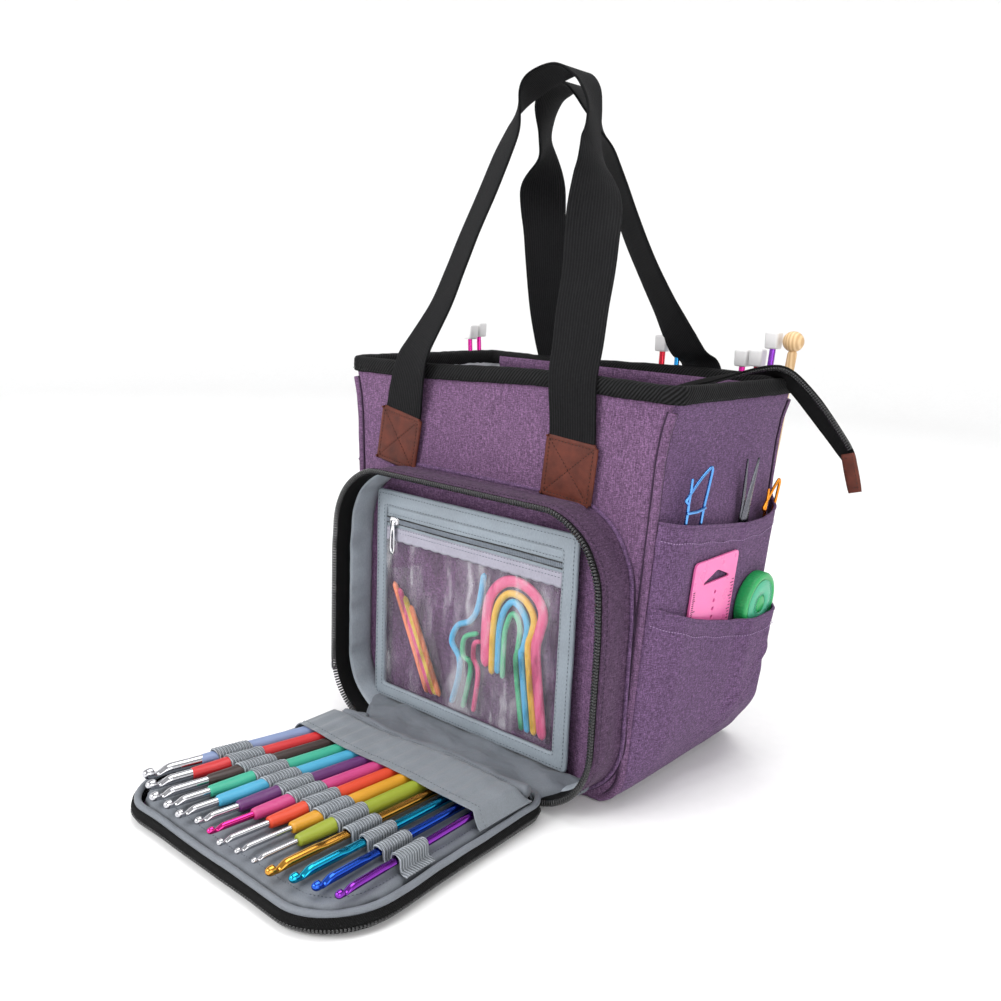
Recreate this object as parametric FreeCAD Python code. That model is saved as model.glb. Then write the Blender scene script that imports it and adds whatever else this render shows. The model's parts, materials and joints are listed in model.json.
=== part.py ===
"""Knitting bag: a tote with a fold-down hook case on its front.

Millimetres. Origin at the centre of the base, +X to the right of the front, -Y out of the
front, +Z up. The case's flap lies open on the floor; the two handles stand up over the top.
"""
import FreeCAD, Part
import math
import os

from FreeCAD import Matrix, Placement, Vector

os.makedirs("parts", exist_ok=True)

# ---- driving dimensions: the bag ----
HALF_BASE = 127.0        # half the width at the base
HALF_RIM = 148.0         # half the width at the rim
HEIGHT = 284.0           # base to the panels' top edge
FRONT_Y = -82.0          # outer face of the front panel
BACK_Y = 86.0            # outer face of the back panel
CORNER_R = 28.0          # lower corners of the front and back panels
PANEL = 3.0              # padded panel
LINING = 1.0
BAND_SPLIT_Z = 34.0      # the side panels start above the lower corners
BINDING = 1.2            # folded tape over the rim
BINDING_DROP = 11.0
PIPING_R = 1.5

# ---- driving dimensions: the hook case on the front ----
CASE_HALF = 126.0
CASE_LOW = 3.0
CASE_TOP = 207.0
CASE_R = 46.0
CASE_FRONT_Y = -117.0
CASE_WALL = 2.5
CASE_LINING = 1.0
ZIP_TAPE = 3.0
HINGE_Y = -117.5         # axis of the flap's fabric hinge
HINGE_Z = 8.0
FLAP_START = 4.0         # the flap's stiff part starts this far from the hinge
FLAP_SHELL = 4.0
FLAP_PAD_INSET = 9.0
FLAP_PAD_TOP = 16.0

# ---- driving dimensions: the clear pocket inside the case ----
WINDOW_X = (-106.0, 88.0)
WINDOW_Z = (16.0, 186.0)
WINDOW_R = 6.0
WINDOW_BINDING = 13.0
WINDOW_FRONT_Y = -91.0
WINDOW_ZIP_HEIGHT = 20.0
SHEET = 0.4              # clear film

# ---- driving dimensions: handles ----
WEB_WIDTH = 36.0
WEB = 1.8
PATCH = (42.0, 1.8, 40.0)
PATCH_Z = 208.0
HANDLE_PIVOT_Z = 251.0
FRONT_LEGS = (-89.0, 74.0)
BACK_LEGS = (-70.0, 74.0)
FRONT_WEB_Y = FRONT_Y - BINDING - 1.0 - WEB / 2
BACK_WEB_Y = BACK_Y + BINDING + 1.0 + WEB / 2
BEND_Z = 292.0           # the webbing leans in above the rim

# ---- driving dimensions: hooks ----
HOOK_COUNT = 14
GRIP_COUNT = 10
HOOK_TIP_X = (-101.0, 89.0)     # first and last hook's tip
HOOK_BACK_X = (-69.5, 84.5)     # and their back ends: the hooks fan out
HOOK_Z = 21.6
GRIP_R = 5.2
HOOK_BACK_Y = -155.0
SHAFT_R = (4.0, 3.6, 3.3, 3.0, 2.8, 2.6, 2.4, 2.2, 2.0, 1.8, 3.0, 3.0, 2.8, 2.5)
TIP_Y = (-299, -305, -311, -310, -311, -307, -308, -311, -309, -308, -309, -304, -300, -296)
GRIP_FRONT_Y = (-255, -254, -252, -254, -254, -262, -274, -274, -267, -274)
LOOP_Y = (-250.0, -226.0)
LOOP_MIDDLE_Y = (LOOP_Y[0] + LOOP_Y[1]) / 2
LOOP_WALL = 0.6
POCKET_Y = (-186.0, -135.0)
POCKET_X = (-112.0, 106.0)
POCKET_TOP = 29.5
POCKET_WALL = 1.2

# ---- driving dimensions: outside pockets, in the side panel's own plane ----
LEAN = math.atan((HALF_RIM - HALF_BASE) / HEIGHT)
UPPER_U = (-76.0, 81.0)
UPPER_LEVELS = ((60.0, 7.4), (196.0, 7.4))
LOWER_U = (-80.0, 84.0)
LOWER_LEVELS = ((6.0, 2.0), (60.0, 16.0), (128.0, 23.0))
POCKET_SIDE = 5.0
POCKET_SHEET = 1.2
BACK_POCKET_INSET = 2 * PIPING_R + 0.2
BACK_POCKET_TOP = 190.0
BACK_POCKET_GAP = 9.0

# ---- driving dimensions: top zip ----
STRIP_Z = 270.0
STRIP_HALF = 132.0
STRIP_LENGTH = 75.0
STRIP = 1.5
ZIP_LINE_Y = 2.0
SLIDER = (9.0, 7.0, 4.0)
PULL_WIDTH = 7.0
PULL_LENGTH = 24.0
PULL = 1.4               # a pull's thickness
PULL_GAP = 1.2           # between a slider and the middle of its pull
TOP_SLIDER_X = 95.0
CASE_SLIDER_Z = 58.0

# ---- driving dimensions: tools ----
RING_SPREAD = 11.0
RING_OUTER = 11.5
RING_HOLE = 8.0
SMALL_NEEDLE_Y = FRONT_Y - 4.6
SACHET_Y = (FRONT_Y - 7.3, FRONT_Y - 1.6)
SACHET_FILM = 0.3
NEEDLE_FOOT_Z = 32.0
NEEDLE_CAP = 11.0
NEEDLE_CAP_HEIGHT = 13.0
NEEDLE_KNOB_R = 8.0


def save(name, shape):
    """Write one sub-part as parts/NAME.step."""
    shape.exportStep("parts/" + name + ".step")
    solids = shape.Solids
    volume = sum(s.Volume for s in solids)
    print(f"{name:28s} solids {len(solids):3d} volume {volume:10.1f} valid {shape.isValid()}")


def box(x, y, z):
    """A box from three (low, high) pairs."""
    size = [high - low for low, high in (x, y, z)]
    return Part.makeBox(size[0], size[1], size[2], Vector(x[0], y[0], z[0]))


def rounded_wire(corners, place):
    """A closed wire through corners (a, b, radius); place turns (a, b) into a point."""
    edges = []
    starts = []
    ends = []
    arcs = []
    count = len(corners)
    for i, (a, b, radius) in enumerate(corners):
        here = Vector(a, b, 0)
        before = Vector(corners[i - 1][0], corners[i - 1][1], 0)
        after = Vector(corners[(i + 1) % count][0], corners[(i + 1) % count][1], 0)
        to_before = (before - here).normalize()
        to_after = (after - here).normalize()
        half = to_before.getAngle(to_after) / 2
        run = radius / math.tan(half) if radius > 0 else 0.0
        start = here + to_before * run
        end = here + to_after * run
        starts.append(start)
        ends.append(end)
        if radius > 0:
            middle = (to_before + to_after).normalize()
            centre = here + middle * (radius / math.sin(half))
            arcs.append(centre - middle * radius)
        else:
            arcs.append(None)
    for i in range(count):
        if arcs[i] is not None:
            points = [place(p.x, p.y) for p in (starts[i], arcs[i], ends[i])]
            edges.append(Part.Arc(*points).toShape())
        following = starts[(i + 1) % count]
        if (following - ends[i]).Length > 1e-6:
            edges.append(Part.makeLine(place(ends[i].x, ends[i].y), place(following.x, following.y)))
    return Part.Wire(edges)


def prism_y(corners, y0, y1):
    """A solid from y0 to y1 with the outline (x, z, radius) corners."""
    face = Part.Face(rounded_wire(corners, lambda a, b: Vector(a, y0, b)))
    return face.extrude(Vector(0, y1 - y0, 0))


def prism_z(corners, z0, z1):
    """A solid from z0 to z1 with the outline (x, y, radius) corners."""
    face = Part.Face(rounded_wire(corners, lambda a, b: Vector(a, b, z0)))
    return face.extrude(Vector(0, 0, z1 - z0))


def body_corners(inset, top):
    """The bag's front outline, moved in by inset and cut off at height top."""
    slope = math.tan(LEAN)
    base = HALF_BASE - inset / math.cos(LEAN)
    low = base + slope * inset
    high = base + slope * top
    radius = CORNER_R - inset
    return [(-low, inset, radius), (low, inset, radius), (high, top, 0), (-high, top, 0)]


def body_prism(inset, y0, y1, top=HEIGHT):
    return prism_y(body_corners(inset, top), y0, y1)


def case_corners(inset, low=CASE_LOW):
    radius = CASE_R - inset
    left = -CASE_HALF + inset
    right = CASE_HALF - inset
    return [
        (left, low + inset, radius),
        (right, low + inset, radius),
        (right, CASE_TOP - inset, radius),
        (left, CASE_TOP - inset, radius),
    ]


def ring_y(corners_of, outer, inner, y0, y1):
    """A ring between two insets of one outline."""
    return prism_y(corners_of(outer), y0, y1).cut(prism_y(corners_of(inner), y0 - 1, y1 + 1))


def ribbon(stations, width, thickness):
    """A flat band through stations (point, width direction), as one ruled solid."""
    wires = []
    count = len(stations)
    for i, (point, across) in enumerate(stations):
        ahead = stations[min(i + 1, count - 1)][0]
        behind = stations[max(i - 1, 0)][0]
        tangent = (ahead - behind).normalize()
        side = across - tangent * across.dot(tangent)
        side.normalize()
        normal = side.cross(tangent)
        a = side * (width / 2)
        b = normal * (thickness / 2)
        corners = [point - a - b, point + a - b, point + a + b, point - a + b]
        wires.append(Part.makePolygon(corners + [corners[0]]))
    return Part.makeLoft(wires, True, True)


def tube(points, radius, bend):
    """A round bar along straight runs joined by arcs of radius bend."""
    edges = []
    last = points[0]
    for before, here, after in zip(points, points[1:], points[2:]):
        to_before = (before - here).normalize()
        to_after = (after - here).normalize()
        half = to_before.getAngle(to_after) / 2
        run = bend / math.tan(half)
        middle = (to_before + to_after).normalize()
        centre = here + middle * (bend / math.sin(half))
        start = here + to_before * run
        end = here + to_after * run
        if (start - last).Length > 1e-4:
            edges.append(Part.makeLine(last, start))
        edges.append(Part.Arc(start, centre - middle * bend, end).toShape())
        last = end
    edges.append(Part.makeLine(last, points[-1]))
    path = Part.Wire(edges)
    profile = Part.Wire(Part.makeCircle(radius, points[0], points[1] - points[0]))
    return path.makePipeShell([profile], True, False)


def turned(profile, start, axis):
    """A solid of revolution from (distance along, radius) pairs about a horizontal axis."""
    side = Vector(0, 0, 1)
    points = [start + axis * profile[0][0]]
    points += [start + axis * s + side * r for s, r in profile]
    points += [start + axis * profile[-1][0], points[0]]
    clean = [points[0]]
    for point in points[1:]:
        if (point - clean[-1]).Length > 1e-6:
            clean.append(point)
    face = Part.Face(Part.makePolygon(clean))
    return face.revolve(start, axis, 360)


# ================= bag body =================
def make_panels():
    front = body_prism(0, FRONT_Y, FRONT_Y + PANEL)
    back = body_prism(0, BACK_Y - PANEL, BACK_Y)
    band = body_prism(0, FRONT_Y + PANEL, BACK_Y - PANEL)
    band = band.cut(body_prism(PANEL, FRONT_Y, BACK_Y, HEIGHT + 10))
    reach = HALF_RIM + 20
    depth = (FRONT_Y - 5, BACK_Y + 5)
    right = band.common(box((0, reach), depth, (BAND_SPLIT_Z, HEIGHT + 5)))
    left = band.common(box((-reach, 0), depth, (BAND_SPLIT_Z, HEIGHT + 5)))
    bottom = band.common(box((-reach, reach), depth, (-5, BAND_SPLIT_Z)))
    save("front_panel", front)
    save("back_panel", back)
    save("right_side_panel", right)
    save("left_side_panel", left)
    save("bottom_panel", bottom)


def make_lining():
    outer = body_prism(PANEL, FRONT_Y + PANEL, BACK_Y - PANEL)
    skin = PANEL + LINING
    inner = body_prism(skin, FRONT_Y + skin, BACK_Y - skin, HEIGHT + 10)
    save("lining", outer.cut(inner))


def make_binding():
    skin = PANEL + LINING
    outer = body_prism(-BINDING, FRONT_Y - BINDING, BACK_Y + BINDING, HEIGHT + BINDING)
    inner_skin = skin + BINDING
    inner = body_prism(inner_skin, FRONT_Y + inner_skin, BACK_Y - inner_skin, HEIGHT + 10)
    walls = body_prism(0, FRONT_Y, BACK_Y)
    walls = walls.cut(body_prism(skin, FRONT_Y + skin, BACK_Y - skin, HEIGHT + 10))
    reach = HALF_RIM + 20
    zone = box((-reach, reach), (FRONT_Y - 10, BACK_Y + 10), (HEIGHT - BINDING_DROP, HEIGHT + 20))
    save("rim_binding", outer.cut(inner).cut(walls).common(zone))


def piping_run(y):
    corners = body_corners(PIPING_R, HEIGHT - BINDING_DROP - PIPING_R)
    low_left, low_right, high_right, high_left = [Vector(a, y, b) for a, b, _ in corners]
    return tube([high_left, low_left, low_right, high_right], PIPING_R, CORNER_R - PIPING_R)


def make_piping():
    runs = [piping_run(FRONT_Y - PIPING_R), piping_run(BACK_Y + PIPING_R)]
    save("edge_piping", Part.makeCompound(runs))


# ================= side and back pockets =================
def on_side(shape, right=True):
    """Put a shape drawn as (u along Y, v up the panel, w outwards) on a side panel."""
    s = math.sin(LEAN)
    c = math.cos(LEAN)
    placed = shape.copy()
    on_panel = Placement(Matrix(0, s, c, HALF_BASE, 1, 0, 0, 0, 0, c, -s, 0, 0, 0, 0, 1))
    placed.Placement = on_panel.multiply(shape.Placement)
    return placed if right else placed.mirror(Vector(0, 0, 0), Vector(1, 0, 0))


def pocket_block(u_range, levels, shrink):
    """The pocket's outside (shrink 0) or its hollow (shrink is the sheet's thickness)."""
    wires = []
    last = len(levels) - 1
    for i, (v, w) in enumerate(levels):
        height = v
        if shrink and i == 0:
            height = v + shrink
        if shrink and i == last:
            height = v + 5
        foot = -2.0 if shrink else 0.0
        low = u_range[0] + shrink
        high = u_range[1] - shrink
        flat = w - shrink if w > shrink + 0.5 else 0.3
        corners = [(low, foot), (low + POCKET_SIDE, flat), (high - POCKET_SIDE, flat), (high, foot)]
        points = [Vector(u, height, across) for u, across in corners]
        wires.append(Part.makePolygon(points + [points[0]]))
    return Part.makeLoft(wires, True, True)


def side_pocket(u_range, levels):
    hollow = pocket_block(u_range, levels, POCKET_SHEET)
    behind = box((u_range[0] - 5, u_range[1] + 5), (levels[0][0] - 5, levels[-1][0] + 10), (-5, 0))
    return pocket_block(u_range, levels, 0).cut(hollow).cut(behind)


def make_side_pockets():
    upper = side_pocket(UPPER_U, UPPER_LEVELS)
    lower = side_pocket(LOWER_U, LOWER_LEVELS)
    save("right_upper_pocket", on_side(upper))
    save("right_lower_pocket", on_side(lower))
    save("left_upper_pocket", on_side(upper, False))
    save("left_lower_pocket", on_side(lower, False))


def make_back_pocket():
    sheet_y = BACK_Y + BACK_POCKET_GAP
    sleeve = body_prism(BACK_POCKET_INSET, BACK_Y, sheet_y + POCKET_SHEET, BACK_POCKET_TOP)
    hollow = body_prism(BACK_POCKET_INSET + POCKET_SHEET, BACK_Y - 1, sheet_y, BACK_POCKET_TOP + 5)
    save("back_pocket", sleeve.cut(hollow))


# ================= front hook case =================
def make_case():
    save("case_gusset", ring_y(case_corners, 0, CASE_WALL, CASE_FRONT_Y + ZIP_TAPE, FRONT_Y))
    inner = CASE_WALL + CASE_LINING
    save("case_lining", ring_y(case_corners, CASE_WALL, inner, CASE_FRONT_Y + ZIP_TAPE, FRONT_Y))
    save("case_zip_tape", ring_y(case_corners, 0, CASE_WALL, CASE_FRONT_Y, CASE_FRONT_Y + ZIP_TAPE))
    floor = CASE_LOW + inner
    run = CASE_HALF - CASE_R - 1
    save("hinge_gusset", box((-run, run), (CASE_FRONT_Y + 0.5, FRONT_Y - 2), (floor, HINGE_Z)))


def make_window():
    x0, x1 = WINDOW_X
    z0, z1 = WINDOW_Z
    t = WINDOW_BINDING
    corners = [(x0, z0, WINDOW_R), (x1, z0, WINDOW_R), (x1, z1, WINDOW_R), (x0, z1, WINDOW_R)]
    frame = prism_y(corners, WINDOW_FRONT_Y, FRONT_Y)
    opening = box((x0 + t, x1 - t), (WINDOW_FRONT_Y - 1, FRONT_Y + 1), (z0 + t, z1 - t))
    save("window_binding", frame.cut(opening))
    band_low = z1 - t - WINDOW_ZIP_HEIGHT
    film = (WINDOW_FRONT_Y + 1.0, WINDOW_FRONT_Y + 1.0 + SHEET)
    save("window_zip_tape", box((x0 + t, x1 - t), (film[0], film[0] + 1.0), (band_low, z1 - t)))
    save("clear_window", box((x0 + t, x1 - t), film, (z0 + t, band_low)))


def flap_outline(inset, near):
    """The case's outline laid out on the floor, cut off at distance near from the hinge."""
    corners = []
    for x, z, radius in case_corners(inset):
        corners.append((x, HINGE_Y - (z - HINGE_Z), radius))
    face = Part.Face(rounded_wire(corners, lambda a, b: Vector(a, b, 0)))
    reach = CASE_HALF + 5
    limit = box((-reach, reach), (HINGE_Y - 300, HINGE_Y - near), (-1, 1))
    return face.common(limit).Faces[0]


def flap_slab(inset, near, z0, z1):
    face = flap_outline(inset, near)
    face.translate(Vector(0, 0, z0))
    return face.extrude(Vector(0, 0, z1 - z0))


def make_flap():
    save("flap_shell", flap_slab(0, FLAP_START, 0, FLAP_SHELL))
    top = HINGE_Z - 0.3
    ring = flap_slab(0, FLAP_START, FLAP_SHELL, top)
    save("flap_zip_tape", ring.cut(flap_slab(CASE_WALL, FLAP_START - 3, FLAP_SHELL - 1, top + 1)))
    save("flap_lining", flap_slab(FLAP_PAD_INSET, FLAP_START + 2, FLAP_SHELL, FLAP_PAD_TOP))


def make_hook_pocket():
    t = POCKET_WALL
    x0, x1 = POCKET_X
    y0, y1 = POCKET_Y
    sleeve = box((x0, x1), (y0, y1), (FLAP_PAD_TOP, POCKET_TOP))
    hollow = box((x0 + t, x1 - t), (y0 - 1, y1 - t), (FLAP_PAD_TOP - 1, POCKET_TOP - t))
    save("hook_pocket", sleeve.cut(hollow))


def hook_ends(i):
    """The middle of a hook's back end and its tip."""
    share = i / (HOOK_COUNT - 1)
    tip_x = HOOK_TIP_X[0] + (HOOK_TIP_X[1] - HOOK_TIP_X[0]) * share
    back_x = HOOK_BACK_X[0] + (HOOK_BACK_X[1] - HOOK_BACK_X[0]) * share
    return Vector(back_x, HOOK_BACK_Y, HOOK_Z), Vector(tip_x, TIP_Y[i], HOOK_Z)


def make_hooks():
    for i in range(HOOK_COUNT):
        back, tip = hook_ends(i)
        length = (tip - back).Length
        out = (tip - back).normalize()
        r = SHAFT_R[i]
        pieces = []
        shaft_start = 0.0
        if i < GRIP_COUNT:
            grip = length - (GRIP_FRONT_Y[i] - TIP_Y[i])
            neck = max(r + 0.6, 3.6)
            profile = [(0, 3.2), (3, GRIP_R - 0.6), (12, GRIP_R), (grip * 0.6, GRIP_R)]
            profile += [(grip * 0.85, GRIP_R - 0.4), (grip, neck)]
            pieces.append(turned(profile, back, out))
            shaft_start = grip
        head = length - 2.2 * r
        profile = [(shaft_start, r), (head, r), (length - 0.8 * r, 0.72 * r), (length, 0.3 * r)]
        shaft = turned(profile, back, out)
        across = Vector(-out.y, out.x, 0)
        throat_at = tip - out * 2.6 * r - across * 2 * r + Vector(0, 0, 1.05 * r)
        throat = Part.makeCylinder(0.75 * r, 4 * r, throat_at, across)
        pieces.append(shaft.cut(throat))
        save(f"hook_{i + 1:02d}", Part.makeCompound(pieces))


def make_elastic_loops():
    inner = GRIP_R + 0.4
    outer = inner + LOOP_WALL
    loops = []
    for i in range(HOOK_COUNT):
        back, tip = hook_ends(i)
        across = (tip.x - back.x) / (tip.y - back.y)
        x = back.x + (LOOP_MIDDLE_Y - back.y) * across
        arches = []
        for r in (outer, inner):
            start = Vector(x, LOOP_Y[0], HOOK_Z)
            round_part = Part.makeCylinder(r, LOOP_Y[1] - LOOP_Y[0], start, Vector(0, 1, 0))
            legs = box((x - r, x + r), LOOP_Y, (FLAP_PAD_TOP, HOOK_Z))
            arches.append(round_part.fuse(legs))
        loop = arches[0].cut(arches[1])
        reach = box((x - 10, x + 10), LOOP_Y, (FLAP_PAD_TOP, HOOK_Z + 20))
        loop = loop.common(reach)
        loop.rotate(Vector(x, LOOP_MIDDLE_Y, 0), Vector(0, 0, 1), -math.degrees(math.atan(across)))
        loops.append(loop)
    save("elastic_loops", Part.makeCompound(loops))


# ================= handles =================
def patch_box(x, face_y, side):
    """A leather patch lying on a sewn webbing end; side is -1 in front, 1 behind."""
    near = face_y + side * WEB
    far = near + side * PATCH[1]
    return box((x - PATCH[0] / 2, x + PATCH[0] / 2), sorted((near, far)), (PATCH_Z, PATCH_Z + PATCH[2]))


def anchor_box(x, face_y, side):
    ends = sorted((face_y, face_y + side * WEB))
    return box((x - WEB_WIDTH / 2, x + WEB_WIDTH / 2), ends, (PATCH_Z + 4, PATCH_Z + PATCH[2]))


def make_handle_fixings():
    places = [(x, FRONT_Y, -1) for x in FRONT_LEGS] + [(x, BACK_Y, 1) for x in BACK_LEGS]
    save("leather_patches", Part.makeCompound([patch_box(*p) for p in places]))
    save("webbing_ends", Part.makeCompound([anchor_box(*p) for p in places]))


def webbing_loop(legs, foot_y, top_y, top_z, arch_half, middle):
    """Handle webbing: flat on the bag, turned edge-on where its two sides meet at the top."""
    low = HANDLE_PIVOT_Z + 0.3
    rise = top_z - BEND_Z
    side = []
    # (height above the bend, share of the way to the arch, turn in degrees)
    for lift, share, turn in ((0.0, 0.0, 0), (0.36, 0.45, 18), (0.70, 0.84, 55), (0.84, 0.96, 90)):
        side.append((BEND_Z + lift * rise, share, turn, 1.0))
    side.append((BEND_Z + 0.93 * rise, 1.0, 90, 0.78))
    stations = []
    for leg, sense in ((legs[0], 0), (legs[1], 180)):
        arch_x = middle - arch_half if sense == 0 else middle + arch_half
        run = [(Vector(leg, foot_y, low), sense), (Vector(leg, foot_y, BEND_Z), sense)]
        for z, share, turn, spread in side[1:]:
            x = leg + (arch_x - leg) * share
            x = middle + (x - middle) * spread
            y = foot_y + (top_y - foot_y) * (z - BEND_Z) / rise
            run.append((Vector(x, y, z), turn if sense == 0 else 180 - turn))
        stations.append(run)
    path = stations[0] + [(Vector(middle, top_y, top_z), 90)] + stations[1][::-1]
    turns = [(p, Vector(math.cos(math.radians(a)), -math.sin(math.radians(a)), 0)) for p, a in path]
    return ribbon(turns, WEB_WIDTH, WEB)


def make_handles():
    save("front_handle", webbing_loop(FRONT_LEGS, FRONT_WEB_Y, -21.0, 501.0, 36.0, -6.0))
    save("back_handle", webbing_loop(BACK_LEGS, BACK_WEB_Y, 21.0, 511.0, 36.0, -2.0))


# ================= zips =================
def slider_body(centre, size):
    half = [s / 2 for s in size]
    return box(*[(c - h, c + h) for c, h in zip(centre, half)])


def make_zips():
    lining_face = PANEL + LINING
    front_y = FRONT_Y + lining_face + BINDING + 1.0
    back_y = BACK_Y - lining_face - BINDING - 1.0
    low = STRIP_Z - STRIP_LENGTH
    for name, y in (("top_zip_strip_front", front_y), ("top_zip_strip_back", back_y)):
        save(name, box((-STRIP_HALF, STRIP_HALF), (y - STRIP / 2, y + STRIP / 2), (low, STRIP_Z - 1.0)))
    half_pull = PULL_WIDTH / 2
    slider_z = STRIP_Z + 6.0
    save("top_zip_slider", slider_body((TOP_SLIDER_X, ZIP_LINE_Y, slider_z), SLIDER))
    pull_z = slider_z + SLIDER[2] / 2 + PULL_GAP
    pull_x = (TOP_SLIDER_X - PULL_LENGTH, TOP_SLIDER_X)
    pull_y = (ZIP_LINE_Y - half_pull, ZIP_LINE_Y + half_pull)
    save("top_zip_pull", box(pull_x, pull_y, (pull_z - PULL / 2, pull_z + PULL / 2)))
    case_x = -(CASE_HALF + SLIDER[2] / 2 + 0.2)
    case_y = CASE_FRONT_Y + 4.5
    save("case_zip_slider", slider_body((case_x, case_y, CASE_SLIDER_Z), (SLIDER[2], SLIDER[1], SLIDER[0])))
    pull_x = case_x - SLIDER[2] / 2 - PULL_GAP
    pull_z = (CASE_SLIDER_Z - PULL_LENGTH, CASE_SLIDER_Z)
    pull_y = (case_y - half_pull, case_y + half_pull)
    save("case_zip_pull", box((pull_x - PULL / 2, pull_x + PULL / 2), pull_y, pull_z))
    band_z = WINDOW_Z[1] - WINDOW_BINDING - WINDOW_ZIP_HEIGHT / 2
    film_y = WINDOW_FRONT_Y + 1.0
    save("window_zip_slider", box((-91.0, -82.0), (film_y - 2.0, film_y - 0.1), (band_z - 3.5, band_z + 3.5)))
    save("window_zip_pull", box((-89.5, -83.5), (film_y - 3.4, film_y - 2.3), (band_z - 26.0, band_z + 1.0)))


def make_tail():
    path = [
        (Vector(112, 2, 277), Vector(0, 1, 0)),
        (Vector(129, 24, 285), Vector(-0.3, 1, 0)),
        (Vector(147, 42, 291.5), Vector(-0.4, 1, 0)),
        (Vector(163, 50, 287), Vector(-0.6, 0.7, -0.3)),
        (Vector(176, 54, 275), Vector(-0.6, 0.2, -0.75)),
        (Vector(189, 57, 261), Vector(-0.75, 0, -0.65)),
        (Vector(200, 60, 243), Vector(-0.85, 0, -0.5)),
    ]
    save("top_zip_tail", ribbon(path, 22.0, 2.0))
    tab = [
        (Vector(202.0, 60.3, 239.5), Vector(-0.85, 0, -0.4)),
        (Vector(209, 61, 215), Vector(-0.9, 0, -0.2)),
    ]
    save("tail_end_tab", ribbon(tab, 13.0, 5.0))


# ================= tools carried in the bag =================
def holder(u, tip, foot, width):
    """A stitch holder: a large wire pin with a triangular head and an open catch."""
    w = 3.6
    r = 1.2
    left = u - width / 2
    right = u + width / 2
    shoulder = tip - 26
    points = [(left, shoulder), (left, foot), (right, foot), (right, shoulder)]
    points += [(right + 3, tip), (left - 3, tip - 24)]
    return tube([Vector(a, b, w) for a, b in points], r, 2.0)


def make_stitch_holders():
    pins = [holder(-46, 236, 100, 13), holder(68, 214, 96, 10)]
    save("stitch_holders", on_side(Part.makeCompound(pins)))


def scissor_half(sense):
    """One blade with its finger ring; sense is -1 or 1."""
    low, high = (2.0, 3.6) if sense < 0 else (3.8, 5.4)
    thickness = Vector(0, 0, high - low)
    spread = 4.0 * sense
    belly = spread * 0.4
    blade = [(-4.5, -5), (4.5, -5), (5 + belly, 14), (spread + 0.4, 45), (spread - 0.4, 45), (-5 + belly, 14)]
    arm = [(4.5, -4), (-4.5, -4), (-6 * sense - 2.5, -34), (-6 * sense + 2.5, -34)]
    pieces = []
    for outline in (blade, arm):
        wire = Part.makePolygon([Vector(a, b, low) for a, b in outline + [outline[0]]])
        pieces.append(Part.Face(wire).extrude(thickness))
    centre = Vector(-RING_SPREAD * sense, -44, low)
    ring = Part.makeCylinder(RING_OUTER, high - low, centre)
    hole = Part.makeCylinder(RING_HOLE, high - low, centre)
    return pieces[0].fuse([pieces[1], ring]).cut(hole).removeSplitter()


def make_scissors():
    halves = [scissor_half(-1), scissor_half(1)]
    rivet = Part.makeCylinder(2.2, 3.8, Vector(0, 0, 1.8))
    halves = [half.cut(rivet) for half in halves]
    pair = Part.makeCompound(halves + [rivet])
    pair.translate(Vector(28, 190, 0))
    save("scissors", on_side(pair))


def make_ruler_and_tape():
    corners = [(-42, 52, 4), (18, 52, 4), (18, 172, 4), (-42, 172, 4)]
    plate = Part.Face(rounded_wire(corners, lambda a, b: Vector(a, b, 7.8)))
    save("gauge_ruler", on_side(plate.extrude(Vector(0, 0, 2.0))))
    case = Part.makeCylinder(24.0, 10.4, Vector(50, 126, 7.9))
    save("tape_measure", on_side(case))


def needle(top, foot, r, cap):
    """A straight needle with a square cap or a round knob on top."""
    axis = (top - foot).normalize()
    shaft = Part.makeCylinder(r, (top - foot).Length, foot, axis)
    half = NEEDLE_CAP / 2
    if cap == "square":
        reach = (top.z, top.z + NEEDLE_CAP_HEIGHT)
        head = box((top.x - half, top.x + half), (top.y - half, top.y + half), reach)
    else:
        head = Part.makeSphere(NEEDLE_KNOB_R, top + Vector(0, 0, NEEDLE_KNOB_R - 0.5))
    return [shaft.cut(head), head]


def make_knitting_needles():
    y = BACK_Y + 4.1
    # (x at the top, x at the foot, height, radius, head)
    kinds = (
        (30, 27, 298, 2.4, "square"), (44, 40, 305, 2.0, "square"), (101, 98, 292, 2.4, "square"),
        (113, 105, 293, 2.2, "square"), (124.5, 113.5, 307, 2.3, "square"), (140, 120, 306, 3.6, "round"),
    )
    solids = []
    for x, foot_x, z, r, cap in kinds:
        solids += needle(Vector(x, y + 1.5, z), Vector(foot_x, y, NEEDLE_FOOT_Z), r, cap)
    save("knitting_needles", Part.makeCompound(solids))


def make_left_needles():
    wall_x = -(HALF_BASE + 3.6)
    rise = math.tan(LEAN)
    foot_z = 66.0
    solids = []
    for y, z in ((61.0, 296.0), (73.0, 298.0)):
        foot = Vector(wall_x - rise * foot_z, y, foot_z)
        solids += needle(Vector(wall_x - rise * z, y, z), foot, 2.0, "square")
    save("left_needles", Part.makeCompound(solids))


def u_needle(left, right, crown, left_foot, right_foot, r):
    bend = (right - left) / 2 - 0.01
    y = SMALL_NEEDLE_Y
    points = [(left, left_foot), (left, crown), (right, crown), (right, right_foot)]
    return tube([Vector(a, y, b) for a, b in points], r, bend)


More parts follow.
